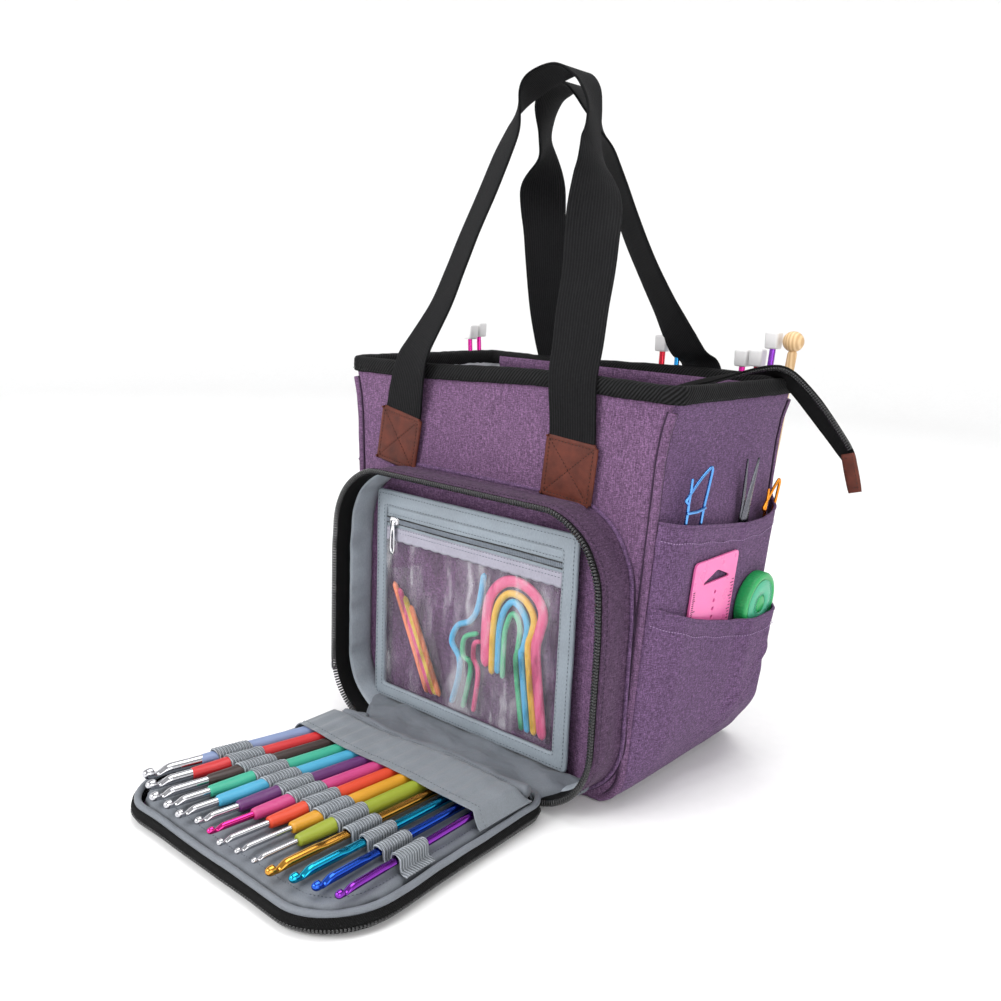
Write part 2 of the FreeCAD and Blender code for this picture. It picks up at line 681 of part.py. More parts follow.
def make_small_needles():
    y = SMALL_NEEDLE_Y
    bars = [
        u_needle(10, 58, 139, 77, 34, 2.2), u_needle(17, 51, 131, 75, 34, 1.9),
        u_needle(23.5, 44.5, 125, 74, 36, 1.7), u_needle(29, 38.5, 118, 76, 35, 1.5),
    ]
    bent = (
        ((4, 143), (0, 112), (-17, 92), (-22, 80), (-13, 64), (-21, 33)),
        ((5, 98), (-9, 86), (-4, 68), (-12, 33)),
        ((5, 88), (-1, 76), (4, 64), (-1, 33)),
    )
    for points in bent:
        bars.append(tube([Vector(a, y, b) for a, b in points], 1.6, 3.0))
    for x0, x1 in ((-84, -47), (-77, -41), (-70, -35)):
        foot = Vector(x1, y, 33)
        axis = Vector(x0, y, 112) - foot
        bars.append(Part.makeCylinder(1.7, axis.Length, foot, axis))
    save("small_needles", Part.makeCompound(bars))


def film_pair(corners):
    """The two films of a clear sachet, in front of and behind the needles."""
    films = []
    for y in SACHET_Y:
        wire = Part.makePolygon([Vector(a, y, b) for a, b in corners + [corners[0]]])
        films.append(Part.Face(wire).extrude(Vector(0, SACHET_FILM, 0)))
    return films


def make_sachets():
    left = film_pair([(-92, 124), (-60, 134), (-27, 36), (-49, 30)])
    right = film_pair([(-22, 148), (73, 150), (73, 31), (-26, 30)])
    save("needle_sachets", Part.makeCompound(left + right))


make_panels()
make_lining()
make_binding()
make_piping()
make_side_pockets()
make_back_pocket()
make_case()
make_window()
make_flap()
make_hook_pocket()
make_hooks()
make_elastic_loops()
make_handle_fixings()
make_handles()
make_zips()
make_tail()
make_stitch_holders()
make_scissors()
make_ruler_and_tape()
make_knitting_needles()
make_left_needles()
make_small_needles()
make_sachets()
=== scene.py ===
"""The knitting bag's looks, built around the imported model. Lengths in this script are millimetres."""

import json
import math

import bmesh
import bpy
import numpy as np
from mathutils import Matrix, Vector, noise


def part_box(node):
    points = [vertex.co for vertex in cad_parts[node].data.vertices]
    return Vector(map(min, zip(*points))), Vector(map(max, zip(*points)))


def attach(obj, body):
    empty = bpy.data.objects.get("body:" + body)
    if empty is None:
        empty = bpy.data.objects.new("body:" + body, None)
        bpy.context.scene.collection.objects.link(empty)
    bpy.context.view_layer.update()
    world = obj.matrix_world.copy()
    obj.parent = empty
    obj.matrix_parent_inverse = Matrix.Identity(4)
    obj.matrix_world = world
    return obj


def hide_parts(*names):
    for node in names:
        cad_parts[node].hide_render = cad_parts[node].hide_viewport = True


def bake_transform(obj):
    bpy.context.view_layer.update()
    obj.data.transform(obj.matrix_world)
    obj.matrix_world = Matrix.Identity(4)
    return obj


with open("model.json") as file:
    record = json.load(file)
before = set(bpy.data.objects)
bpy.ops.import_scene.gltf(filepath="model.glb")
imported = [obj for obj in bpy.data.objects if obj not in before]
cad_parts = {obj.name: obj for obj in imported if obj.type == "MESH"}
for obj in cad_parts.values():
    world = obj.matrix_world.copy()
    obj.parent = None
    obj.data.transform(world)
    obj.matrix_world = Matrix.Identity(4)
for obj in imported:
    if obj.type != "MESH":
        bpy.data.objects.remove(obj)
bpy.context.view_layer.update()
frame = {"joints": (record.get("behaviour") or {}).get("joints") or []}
MM = 0.001


def cad(node):
    """A CAD node's lowest and highest corner, in millimetres."""
    low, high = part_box(node)
    return np.array(low) / MM, np.array(high) / MM


# ---- driving sizes, most of them read from the frame ----
FRONT_Y = cad("front_panel")[0][1]
BACK_Y = cad("back_panel")[1][1]
HEIGHT = cad("front_panel")[1][2]
HALF_RIM = cad("front_panel")[1][0]
HALF_BASE = 127.0        # half the width at the base
CASE_LOW, CASE_HIGH = cad("case_zip_tape")
CASE_R = 49.0            # the case's corners, seen from the front
FLAP_FRONT = cad("flap_shell")[0][1]
PAD_TOP = cad("flap_lining")[1][2]
WINDOW_LOW, WINDOW_HIGH = cad("window_binding")
HINGE_Y = next(j for j in frame["joints"] if j["name"] == "flap_hinge")["pos_m"][1] / MM


# ================= numbers and paths =================
def wobble(x, y, z, scale, seed=0.0):
    """Smooth noise from -1 to 1 at a place."""
    return noise.noise(Vector((x / scale + seed, y / scale - seed, z / scale + 2.7 * seed)))


def distances(points):
    """How far along a line each of its points is."""
    return np.concatenate([[0], np.cumsum(np.linalg.norm(np.diff(points, axis=0), axis=1))])


def smooth_path(points, count):
    """count points along a Catmull-Rom curve through the points, evenly spaced."""
    p = np.array(points, float)
    p = np.vstack([2 * p[0] - p[1], p, 2 * p[-1] - p[-2]])
    fine = []
    for i in range(1, len(p) - 2):
        for t in np.linspace(0, 1, 24, endpoint=False):
            a, b, c, d = p[i - 1], p[i], p[i + 1], p[i + 2]
            fine.append(0.5 * (2 * b + (c - a) * t + (2 * a - 5 * b + 4 * c - d) * t**2
                + (3 * b - a - 3 * c + d) * t**3))
    fine.append(p[-2])
    return even(fine, count)


def even(points, count, closed=False):
    """The same line with count evenly spaced points."""
    p = np.array(points, float)
    if closed:
        p = np.vstack([p, p[:1]])
    along = distances(p)
    at = np.linspace(0, along[-1], count + 1)[:-1] if closed else np.linspace(0, along[-1], count)
    return np.stack([np.interp(at, along, p[:, k]) for k in range(p.shape[1])], axis=1)


def rounded_rect(x0, x1, z0, z1, r, count):
    """Evenly spaced points round a rounded rectangle, from the middle of its low side, to the right."""
    corner = np.linspace(0, math.pi / 2, 14)
    points = [((x0 + x1) / 2, z0)]
    for cx, cz, turn in ((x1 - r, z0 + r, -0.5), (x1 - r, z1 - r, 0.0), (x0 + r, z1 - r, 0.5),
            (x0 + r, z0 + r, 1.0)):
        points += [(cx + r * math.cos(turn * math.pi + a), cz + r * math.sin(turn * math.pi + a))
            for a in corner]
    return even(points, count, closed=True)


def outward(points):
    """Unit normals of a closed counter-clockwise line of (a, b) points."""
    t = np.roll(points, -1, 0) - np.roll(points, 1, 0)
    t /= np.linalg.norm(t, axis=1)[:, None]
    return np.stack([t[:, 1], -t[:, 0]], axis=1)


def tangents(p, closed=False):
    """Unit directions along a line."""
    if closed:
        t = np.roll(p, -1, 0) - np.roll(p, 1, 0)
    else:
        t = np.gradient(p, axis=0)
    return t / np.maximum(np.linalg.norm(t, axis=1), 1e-9)[:, None]


# ================= meshes =================
def build(name, verts, faces, material, body, replaces=(), slot=None, uv=None, smooth=True):
    """A piece from millimetre points; it rides on a body and stands for CAD nodes."""
    mesh = bpy.data.meshes.new(name)
    points = np.array(verts, float) * MM
    points[:, 2] = np.maximum(points[:, 2], 0.0)
    mesh.from_pydata(points.tolist(), [], [tuple(f) for f in faces])
    piece = bpy.data.objects.new(name, mesh)
    bpy.context.scene.collection.objects.link(piece)
    mesh.materials.append(material)
    if uv is not None:
        layer = mesh.uv_layers.new(name="run")
        index = np.zeros(len(mesh.loops), np.int32)
        mesh.loops.foreach_get("vertex_index", index)
        layer.data.foreach_set("uv", (np.array(uv, float) * MM)[index].astype(np.float32).ravel())
    work = bmesh.new()
    work.from_mesh(mesh)
    bmesh.ops.recalc_face_normals(work, faces=work.faces)
    work.to_mesh(mesh)
    work.free()
    mesh.polygons.foreach_set("use_smooth", [smooth] * len(mesh.polygons))
    if body:
        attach(piece, body)
    if replaces:
        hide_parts(*replaces)
    return piece


class Heap:
    """Gathers many small shapes into one mesh."""

    def __init__(self):
        self.verts = []
        self.faces = []
        self.uv = []
        self.count = 0

    def add(self, verts, faces, uv=None):
        self.verts.append(np.array(verts, float))
        self.faces += [tuple(i + self.count for i in f) for f in faces]
        self.uv.append(np.zeros((len(verts), 2)) if uv is None else np.array(uv, float))
        self.count += len(verts)

    def build(self, name, material, body, replaces=(), slot=None, smooth=True):
        uv = np.vstack(self.uv)
        return build(name, np.vstack(self.verts), self.faces, material, body, replaces, slot, uv, smooth)


def grid_faces(nu, nv, wrap_u=False, wrap_v=False):
    """Faces between the rows of a grid of points."""
    faces = []
    for i in range(nu if wrap_u else nu - 1):
        for j in range(nv if wrap_v else nv - 1):
            k = (i + 1) % nu
            m = (j + 1) % nv
            faces.append((i * nv + j, k * nv + j, k * nv + m, i * nv + m))
    return faces


def ring_skin(rings):
    """Points and faces of a closed body through rings of equally many points."""
    p = np.array(rings)
    n, m = p.shape[:2]
    faces = grid_faces(n, m, False, True)
    return p.reshape(-1, 3), faces + [tuple(range(m)), tuple((n - 1) * m + i for i in range(m))]


def grid_normals(p, wrap_u=False):
    du = np.roll(p, -1, 0) - np.roll(p, 1, 0) if wrap_u else np.gradient(p, axis=0)
    dv = np.gradient(p, axis=1)
    n = np.cross(du, dv)
    return n / np.maximum(np.linalg.norm(n, axis=2), 1e-9)[:, :, None]


def thick_sheet(p, thickness, wrap_u=False, flip=False):
    """Points, faces and run coordinates of a closed sheet that follows the grid p (nu, nv, 3)."""
    nu, nv = p.shape[:2]
    n = grid_normals(p, wrap_u) * (-1 if flip else 1)
    verts = np.vstack([p.reshape(-1, 3), (p - n * thickness).reshape(-1, 3)])
    front = grid_faces(nu, nv, wrap_u)
    size = nu * nv
    faces = front + [tuple(i + size for i in reversed(f)) for f in front]
    steps = nu if wrap_u else nu - 1
    for i in range(steps):
        k = (i + 1) % nu
        for j in (0, nv - 1):
            faces.append((i * nv + j, k * nv + j, k * nv + j + size, i * nv + j + size))
    if not wrap_u:
        for j in range(nv - 1):
            for i in (0, nu - 1):
                faces.append((i * nv + j, i * nv + j + 1, i * nv + j + 1 + size, i * nv + j + size))
    run_u = distances(p[:, nv // 2])
    run_v = distances(p[nu // 2])
    uv = np.stack(np.meshgrid(run_u, run_v, indexing="ij"), axis=2).reshape(-1, 2)
    return verts, faces, np.vstack([uv, uv])


def sheet_piece(name, p, thickness, material, body, replaces=(), slot=None, wrap_u=False, flip=False):
    verts, faces, uv = thick_sheet(p, thickness, wrap_u, flip)
    return build(name, verts, faces, material, body, replaces, slot, uv)


def sweep(path, sides, profile, closed=False):
    """A closed profile (m, 2) of (across, out) carried along a path with its side directions."""
    t = tangents(path, closed)
    sides = sides - t * (sides * t).sum(1)[:, None]
    sides /= np.linalg.norm(sides, axis=1)[:, None]
    out = np.cross(sides, t)
    prof = np.array(profile, float)
    if prof.ndim == 2:
        prof = np.repeat(prof[None], len(path), axis=0)
    p = path[:, None] + sides[:, None] * prof[:, :, :1] + out[:, None] * prof[:, :, 1:]
    n, m = p.shape[:2]
    faces = grid_faces(n, m, closed, True)
    if not closed:
        faces += [tuple(range(m)), tuple((n - 1) * m + i for i in range(m))]
    along = distances(path)
    around = distances(prof[0])
    uv = np.stack(np.meshgrid(along, around, indexing="ij"), axis=2).reshape(-1, 2)
    return p.reshape(-1, 3), faces, uv


def carried_sides(path, first, closed=False):
    """Side directions that turn as little as they can along a path."""
    t = tangents(path, closed)
    side = np.array(first, float)
    found = []
    for k in t:
        side = side - k * (side @ k)
        side /= np.linalg.norm(side)
        found.append(side)
    return np.array(found)


def circle(radius, count=12, squash=1.0):
    a = np.linspace(0, 2 * math.pi, count, endpoint=False)
    return np.stack([radius * np.cos(a), radius * squash * np.sin(a)], axis=1)


def tube(path, radius, count=12, closed=False, first=(0.1, 0.2, 1.0)):
    """A round tube; radius is a number or one per point."""
    path = np.array(path, float)
    radii = np.broadcast_to(np.array(radius, float), (len(path),))
    profile = np.stack([circle(r, count) for r in radii])
    return sweep(path, carried_sides(path, first, closed), profile, closed)


def flat_rod(path, wide, deep, count=14):
    """A bar lying in an upright plane, wide across its path and deep out of it, with tapered ends."""
    path = np.array(path, float)
    way = path[1] - path[0]
    along = distances(path)
    gap = np.minimum(1.0, np.minimum(along, along[-1] - along) / (1.6 * wide))
    share = np.sqrt(np.clip(1 - (1 - gap) ** 2, 0.02, 1))
    profile = np.stack([circle(wide * k, count, deep / wide) for k in share])
    return sweep(path, carried_sides(path, (way[2], 0.0, -way[0])), profile)


def rod(path, radius, count=14, ends=4):
    """A tube along a straight or bent path, with round ends."""
    path = np.array(path, float)
    r = float(radius)
    first = (path[0] - path[1]) / np.linalg.norm(path[0] - path[1])
    last = (path[-1] - path[-2]) / np.linalg.norm(path[-1] - path[-2])
    steps = np.linspace(0, math.pi / 2, ends + 1)[1:]
    head = [path[0] + first * r * math.sin(a) for a in steps][::-1]
    tail = [path[-1] + last * r * math.sin(a) for a in steps]
    radii = [max(0.02, r * math.cos(a)) for a in steps]
    return tube(np.vstack([head, path, tail]), radii[::-1] + [r] * len(path) + radii, count)


def band_profile(width, thickness):
    """The cross-section of webbing or tape: flat, with round edges."""
    half = width / 2 - thickness / 2
    a = np.linspace(-math.pi / 2, math.pi / 2, 5)
    right = np.stack([half + thickness / 2 * np.cos(a), thickness / 2 * np.sin(a)], axis=1)
    across = np.linspace(half, -half, 9)[1:-1]
    top = np.stack([across, np.full(7, thickness / 2)], axis=1)
    left = np.stack([-half - thickness / 2 * np.cos(a), -thickness / 2 * np.sin(a)], axis=1)
    low = np.stack([-across, np.full(7, -thickness / 2)], axis=1)
    return np.vstack([right, top, left, low])


GRAIN_FACES = [(0, 1, 2), (0, 2, 3), (0, 3, 4), (0, 4, 1), (5, 2, 1), (5, 3, 2), (5, 4, 3), (5, 1, 4)]


def stitches(heap, path, out, pitch=3.2, length=2.3, width=0.45, height=0.4, closed=False):
    """Thread stitches along a path; out is one direction or one per point."""
    path = np.array(path, float)
    total = np.linalg.norm(np.diff(path, axis=0), axis=1).sum()
    count = max(2, int(total / pitch))
    dense = even(path, count * 2, closed)
    outs = np.array(out, float)
    if outs.ndim == 2:
        outs = even(outs, count * 2, closed)
    else:
        outs = np.repeat(outs[None], count * 2, axis=0)
    t = tangents(dense, closed)
    for k in range(0, count * 2, 2):
        n = outs[k] / np.linalg.norm(outs[k])
        side = np.cross(t[k], n)
        c = dense[k] + n * height * 0.2
        verts = [c - t[k] * length / 2, c + side * width, c + n * height, c - side * width, c - n * height,
            c + t[k] * length / 2]
        heap.add(verts, GRAIN_FACES)


BOX_FACES = [(0, 1, 3, 2), (4, 6, 7, 5), (0, 4, 5, 1), (2, 3, 7, 6), (0, 2, 6, 4), (1, 5, 7, 3)]


def block(heap, centre, axes, half):
    """A small brick with its own three directions and half sizes."""
    a, b, c = [np.array(d, float) * h for d, h in zip(axes, half)]
    centre = np.array(centre, float)
    verts = [centre + i * a + j * b + k * c for i in (-1, 1) for j in (-1, 1) for k in (-1, 1)]
    heap.add(verts, BOX_FACES)


def teeth(heap, path, across, pitch=1.7, half=(0.55, 1.3, 0.75), closed=False):
    """Zip teeth along a path, each lying along its across direction."""
    path = np.array(path, float)
    total = np.linalg.norm(np.diff(path, axis=0), axis=1).sum()
    count = int(total / pitch)
    dense = even(path, count, closed)
    sides = even(np.array(across, float), count, closed)
    t = tangents(dense, closed)
    for k in range(count):
        s = sides[k] - t[k] * (sides[k] @ t[k])
        s /= np.linalg.norm(s)
        block(heap, dense[k], (t[k], s, np.cross(t[k], s)), half)


# ================= materials =================
class Nodes:
    """A short way to write a node tree."""

    def __init__(self, name):
        self.material = bpy.data.materials.new(name)
        self.material.use_nodes = True
        self.tree = self.material.node_tree
        self.shader = self.tree.nodes["Principled BSDF"]
        self.coords = self.tree.nodes.new("ShaderNodeTexCoord").outputs["Object"]

    def add(self, kind, **settings):
        node = self.tree.nodes.new("ShaderNode" + kind)
        for key, value in settings.items():
            setattr(node, key, value)
        return node

    def link(self, a, b):
        self.tree.links.new(a, b)

    def run(self):
        """Coordinates along and across a band, in metres."""
        node = self.add("UVMap")
        node.uv_map = "run"
        return node.outputs[0]

    def stretch(self, source, scale, turn=0.0):
        node = self.add("Mapping")
        node.inputs["Scale"].default_value = scale
        node.inputs["Rotation"].default_value = (0, 0, turn)
        self.link(source, node.inputs["Vector"])
        return node.outputs[0]

    def noise(self, source, scale, detail=3.0, rough=0.55):
        node = self.add("TexNoise")
        node.inputs["Scale"].default_value = scale
        node.inputs["Detail"].default_value = detail
        node.inputs["Roughness"].default_value = rough
        self.link(source, node.inputs["Vector"])
        return node.outputs["Fac"]

    def wave(self, source, scale, direction="X", distort=0.0):
        node = self.add("TexWave", bands_direction=direction)
        node.inputs["Scale"].default_value = scale
        node.inputs["Distortion"].default_value = distort
        self.link(source, node.inputs["Vector"])
        return node.outputs["Fac"]

    def math(self, kind, a, b):
        node = self.add("Math", operation=kind)
        for socket, value in zip(node.inputs, (a, b)):
            if isinstance(value, (int, float)):
                socket.default_value = value
            else:
                self.link(value, socket)
        return node.outputs[0]

    def weigh(self, a, share_a, b, share_b):
        """A weighted sum of two values."""
        return self.math("ADD", self.math("MULTIPLY", a, share_a), self.math("MULTIPLY", b, share_b))

    def ramp(self, source, stops):
        node = self.add("ValToRGB")
        while len(node.color_ramp.elements) < len(stops):
            node.color_ramp.elements.new(0.5)
        for element, (at, colour) in zip(node.color_ramp.elements, stops):
            element.position = at
            element.color = (*colour, 1)
        self.link(source, node.inputs[0])
        return node.outputs[0]

    def mix(self, share, a, b, blend="MIX"):
        node = self.add("Mix", data_type="RGBA", blend_type=blend)
        for socket, value in zip((node.inputs[0], node.inputs[6], node.inputs[7]), (share, a, b)):
            if isinstance(value, (int, float)):
                socket.default_value = value
            elif isinstance(value, tuple):
                socket.default_value = (*value, 1)
            else:
                self.link(value, socket)
        return node.outputs[2]

    def finish(self, colour, rough=0.8, bump=None, strength=0.3, distance=0.0004, rough_map=None, **sockets):
        self.link(colour, self.shader.inputs["Base Color"])
        self.shader.inputs["Roughness"].default_value = rough
        if rough_map is not None:
            self.link(rough_map, self.shader.inputs["Roughness"])
        if bump is not None:
            node = self.add("Bump")
            node.inputs["Strength"].default_value = strength
            node.inputs["Distance"].default_value = distance
            self.link(bump, node.inputs["Height"])
            self.link(node.outputs[0], self.shader.inputs["Normal"])
        for key, value in sockets.items():
            self.shader.inputs[key.replace("_", " ")].default_value = value
        return self.material


def shade(colour, factor):
    """A colour made darker or lighter."""
    return tuple(c * factor for c in colour)


def melange(name, base, light=2.1, dark=0.42):
    """Heathered cloth: pale and dark threads both ways, in a plain weave."""
    n = Nodes(name)
    flat = n.noise(n.stretch(n.coords, (280, 280, 1700)), 1.0, 2.0)
    upright = n.noise(n.stretch(n.coords, (1700, 1700, 280)), 1.0, 2.0)
    both = n.math("MULTIPLY", n.math("ADD", flat, upright), 0.5)
    speck = n.noise(n.coords, 1300.0, 1.0)
    thread = n.weigh(both, 0.72, speck, 0.28)
    colour = n.ramp(thread, [(0.36, shade(base, dark)), (0.5, base), (0.64, shade(base, light))])
    cloud = n.noise(n.coords, 14.0, 2.0)
    tint = n.ramp(cloud, [(0.3, (0.9, 0.88, 0.92)), (0.7, (1.0, 1.0, 1.0))])
    colour = n.mix(1.0, colour, tint, "MULTIPLY")
    weave = n.math("ADD", n.wave(n.coords, 380.0, "Z"),
        n.math("ADD", n.wave(n.coords, 380.0, "X"), n.wave(n.coords, 380.0, "Y")))
    height = n.math("ADD", thread, n.math("MULTIPLY", weave, 0.12))
    return n.finish(colour, 0.9, height, 0.5, 0.0006, Sheen_Weight=0.04, Specular_IOR_Level=0.2)


def satin(name, base, crease=1.0):
    """Smooth lining cloth with a fine weave and faint crease lines, whose colour is darker in the crease
    lines and lighter on their ridges as painted shade and highlight.
    """
    n = Nodes(name)
    weave = n.noise(n.stretch(n.coords, (1400, 1400, 500)), 1.0, 2.0)
    fold = n.noise(n.stretch(n.coords, (36, 60, 40)), 1.0, 4.0, 0.6)
    # painted shade and highlight: the colour follows the crease noise, darker in the hollows and lighter on
    # the ridges; the weave part is the threads' own tone
    colour = n.ramp(n.weigh(weave, 0.5, fold, 0.5),
                    [(0.35, shade(base, 0.84)), (0.65, shade(base, 1.1))])
    height = n.weigh(weave, 0.12, fold, crease)
    rough = n.ramp(fold, [(0.3, (0.5, 0.5, 0.5)), (0.7, (0.68, 0.68, 0.68))])
    return n.finish(colour, 0.6, height, 0.35, 0.0012, rough_map=rough, Sheen_Weight=0.12)


def webbing(name):
    """Ribbed black webbing: fine ribs along it and small cross threads."""
    n = Nodes(name)
    run = n.run()
    ribs = n.wave(run, 160.0, "Y")
    cross = n.wave(run, 420.0, "X", 0.6)
    fuzz = n.noise(n.coords, 700.0, 2.0)
    height = n.weigh(ribs, 0.6, cross, 0.4)
    # partly painted shade: the colour follows the rib height, darker in the rib hollows; the fuzz part is
    # the threads' own tone
    colour = n.ramp(n.weigh(height, 0.6, fuzz, 0.4),
                    [(0.3, (0.002, 0.002, 0.0025)), (0.75, (0.014, 0.014, 0.015))])
    return n.finish(colour, 0.8, height, 0.6, 0.0005, Specular_IOR_Level=0.12)


def twill(name, rib=150.0, pale=0.02):
    """Black tape with a diagonal rib."""
    n = Nodes(name)
    run = n.run()
    diagonal = n.wave(n.stretch(run, (1, 1, 1), math.radians(40)), rib, "X", 0.4)
    fuzz = n.noise(n.coords, 800.0, 2.0)
    # partly painted shade: the colour follows the diagonal rib, darker in its hollows; the fuzz part is the
    # threads' own tone
    colour = n.ramp(n.weigh(diagonal, 0.6, fuzz, 0.4),
                    [(0.3, (0.003, 0.003, 0.003)), (0.8, (pale, pale, pale * 1.05))])
    return n.finish(colour, 0.8, diagonal, 0.6, 0.0005, Specular_IOR_Level=0.1)


def leather(name, base):
    n = Nodes(name)
    cell = n.add("TexVoronoi", feature="DISTANCE_TO_EDGE")
    cell.inputs["Scale"].default_value = 900.0
    n.link(n.coords, cell.inputs["Vector"])
    cloud = n.noise(n.coords, 120.0, 4.0)
    colour = n.ramp(cloud, [(0.3, shade(base, 0.72)), (0.7, shade(base, 1.3))])
    height = n.weigh(cell.outputs["Distance"], 0.8, cloud, 0.5)
    rough = n.ramp(cloud, [(0.3, (0.5, 0.5, 0.5)), (0.7, (0.66, 0.66, 0.66))])
    return n.finish(colour, 0.55, height, 0.4, 0.0004, rough_map=rough, Specular_IOR_Level=0.22)


def plastic(name, base, rough=0.35, grain=0.12, vary=0.08, **sockets):
    """Moulded plastic or rubber with faint mottling."""
    n = Nodes(name)
    cloud = n.noise(n.coords, 60.0, 3.0)
    fine = n.noise(n.coords, 1500.0, 2.0)
    colour = n.ramp(cloud, [(0.3, shade(base, 1 - vary)), (0.7, shade(base, 1 + vary))])
    worn = n.ramp(cloud, [(0.3, (rough * 0.85,) * 3), (0.7, (rough * 1.15,) * 3)])
    return n.finish(colour, rough, fine, grain, 0.0002, rough_map=worn, **sockets)


def metal(name, base, rough=0.2):
    """Polished or anodised metal with fine lines along it."""
    n = Nodes(name)
    lines = n.noise(n.stretch(n.coords, (1800, 60, 1800)), 1.0, 2.0)
    cloud = n.noise(n.coords, 45.0, 2.0)
    colour = n.ramp(cloud, [(0.3, shade(base, 0.9)), (0.7, shade(base, 1.05))])
    worn = n.ramp(lines, [(0.3, (rough * 0.7,) * 3), (0.7, (rough * 1.4,) * 3)])
    return n.finish(colour, rough, rough_map=worn, Metallic=1.0)


def film(name, tint, alpha, rough=0.08, crinkle=0.5, streak=0.0):
    """Clear film: thin, glossy and slightly crinkled, with streaks along crease-like noise: dark ones are
    painted shade, pale milky ones are painted reflection, and the film is less clear along them.
    """
    n = Nodes(name)
    folds = n.noise(n.stretch(n.coords, (28, 28, 28)), 1.0, 3.0, 0.6)
    painted_streaks = n.noise(n.stretch(n.coords, (60, 30, 16), 0.5), 1.0, 3.0, 0.6)
    # painted shade and reflection: the tint turns dark in some streaks and milky pale in others
    colour = n.ramp(painted_streaks, [(0.40, shade(tint, 0.25)), (0.5, tint), (0.62, (0.8, 0.8, 0.84))])
    material = n.finish(colour, rough, folds, crinkle, 0.004, IOR=1.5, Specular_IOR_Level=0.8)
    # painted reflection: the film is less clear along the same streaks
    clear = n.ramp(painted_streaks, [(0.36, (alpha + streak,) * 3), (0.46, (alpha,) * 3), (0.56, (alpha,) * 3),
        (0.66, (alpha + streak,) * 3)])
    n.link(clear, n.shader.inputs["Alpha"])
    return material


def elastic(name):
    n = Nodes(name)
    ribs = n.wave(n.stretch(n.coords, (0, 1, 0)), 290.0, "Y")
    # painted shade: the colour follows the ribs, darker between them and lighter on their crests
    colour = n.ramp(ribs, [(0.2, (0.13, 0.145, 0.16)), (0.8, (0.38, 0.41, 0.45))])
    return n.finish(colour, 0.85, ribs, 0.9, 0.0008, Sheen_Weight=0.1)


def wood(name):
    n = Nodes(name)
    ring = n.wave(n.stretch(n.coords, (1, 1, 0.06)), 130.0, "X", 3.0)
    colour = n.ramp(ring, [(0.2, (0.58, 0.36, 0.17)), (0.8, (0.76, 0.53, 0.29))])
    return n.finish(colour, 0.42, ring, 0.1, 0.0002)


PURPLE = (0.130, 0.070, 0.136)
purple = melange("purple_melange", PURPLE)
# the sides' purple: the front's cloth darkened as painted shade, and a little bluer
purple_side_shaded = melange("purple_melange_side_shaded", (0.112, 0.062, 0.130))
# painted shade: the case gusset's purple, the front's darkened to 0.55 for the deep shade beside the case
purple_gusset_shade = melange("purple_melange_gusset_shade", shade(PURPLE, 0.55))
# near-black purple: painted shade for the tubes beside the piping and round the case's foot, and the colour
# of the case gusset's thread
purple_dark = plastic("seam_shadow", (0.03, 0.012, 0.035), 0.9)
grey = satin("grey_lining", (0.30, 0.335, 0.375))
grey_tape = satin("grey_binding", (0.25, 0.29, 0.33), 0.4)
pale = satin("bag_lining", (0.5, 0.51, 0.54))
# the hook pocket's paler satin, darkened as painted shade on its upward face
pale_grey_shaded = satin("hook_pocket_satin_shaded", (0.185, 0.205, 0.228), 0.8)
# the flap's pad, hinge cloth, piping and seam roll: the lining's grey darkened as painted shade on their
# upward faces
grey_pad_shaded = satin("flap_lining_satin_shaded", (0.140, 0.155, 0.178))
lilac = satin("window_band_satin", (0.34, 0.33, 0.40), 0.6)
black_web = webbing("black_webbing")
black_twill = twill("black_twill")
black_tape = twill("zip_tape", 330.0, 0.009)
black_teeth = plastic("zip_teeth", (0.02, 0.02, 0.021), 0.25)
grey_teeth = plastic("grey_teeth", (0.2, 0.23, 0.27), 0.4)
brown = leather("brown_leather", (0.092, 0.023, 0.0145))
brown_thread = plastic("brown_thread", (0.022, 0.008, 0.006), 0.8)
grey_thread = plastic("grey_thread", (0.075, 0.09, 0.11), 0.8)
purple_thread = plastic("purple_thread", (0.36, 0.24, 0.42), 0.8)
silver = metal("silver", (0.72, 0.72, 0.74), 0.18)
window_film = film("clear_window", (0.34, 0.32, 0.38), 0.07, streak=0.10)
sachet_film = film("sachet_film", (0.75, 0.75, 0.8), 0.045, 0.1, 0.9, 0.09)
elastic_grey = elastic("elastic_grey")


# ================= the bag's own shape =================
N_FRONT, N_SIDE, N_CORNER, N_UP = 61, 41, 6, 56
PLAN_R = 9.0             # upright corners
BASE_R = 28.0            # corners at the foot, seen from the front


def half_width(z):
    """Half the bag's width at a height: round at the foot, flaring under the rim."""
    z = np.asarray(z, float)
    wide = np.interp(z, (28, 60, 120, 190, 240, 258, 272, 290),
        (128.5, 130.5, 133.5, 137, 139.5, 142, 146, HALF_RIM + 1))
    foot = np.clip(BASE_R - z, 0, BASE_R)
    return wide - BASE_R + np.sqrt(BASE_R**2 - foot**2)


def plan():
    """One turn round the bag in plan: side number, place across it (-1 to 1) and corner angle."""
    rows = []
    for side, count in enumerate((N_FRONT, N_SIDE, N_FRONT, N_SIDE)):
        rows += [(side, s, 0.0) for s in np.linspace(-1, 1, count)]
        rows += [(side, 1.0, a) for a in np.linspace(0, math.pi / 2, N_CORNER + 2)[1:-1]]
    return rows


PLAN = plan()
SIDE_START = [0]
for wide_count in (N_FRONT, N_SIDE, N_FRONT):
    SIDE_START.append(SIDE_START[-1] + wide_count + N_CORNER)


def rim_height(x, y):
    """The rim sags between its corners and rises to the right."""
    share = (y - FRONT_Y) / (BACK_Y - FRONT_Y)
    front = 286.0 + 0.016 * x + 1.6 * math.sin(x / 42.0 + 0.6)
    back = 285.0 + 0.006 * x + 1.0 * math.sin(x / 50.0)
    return front * (1 - share) + back * share


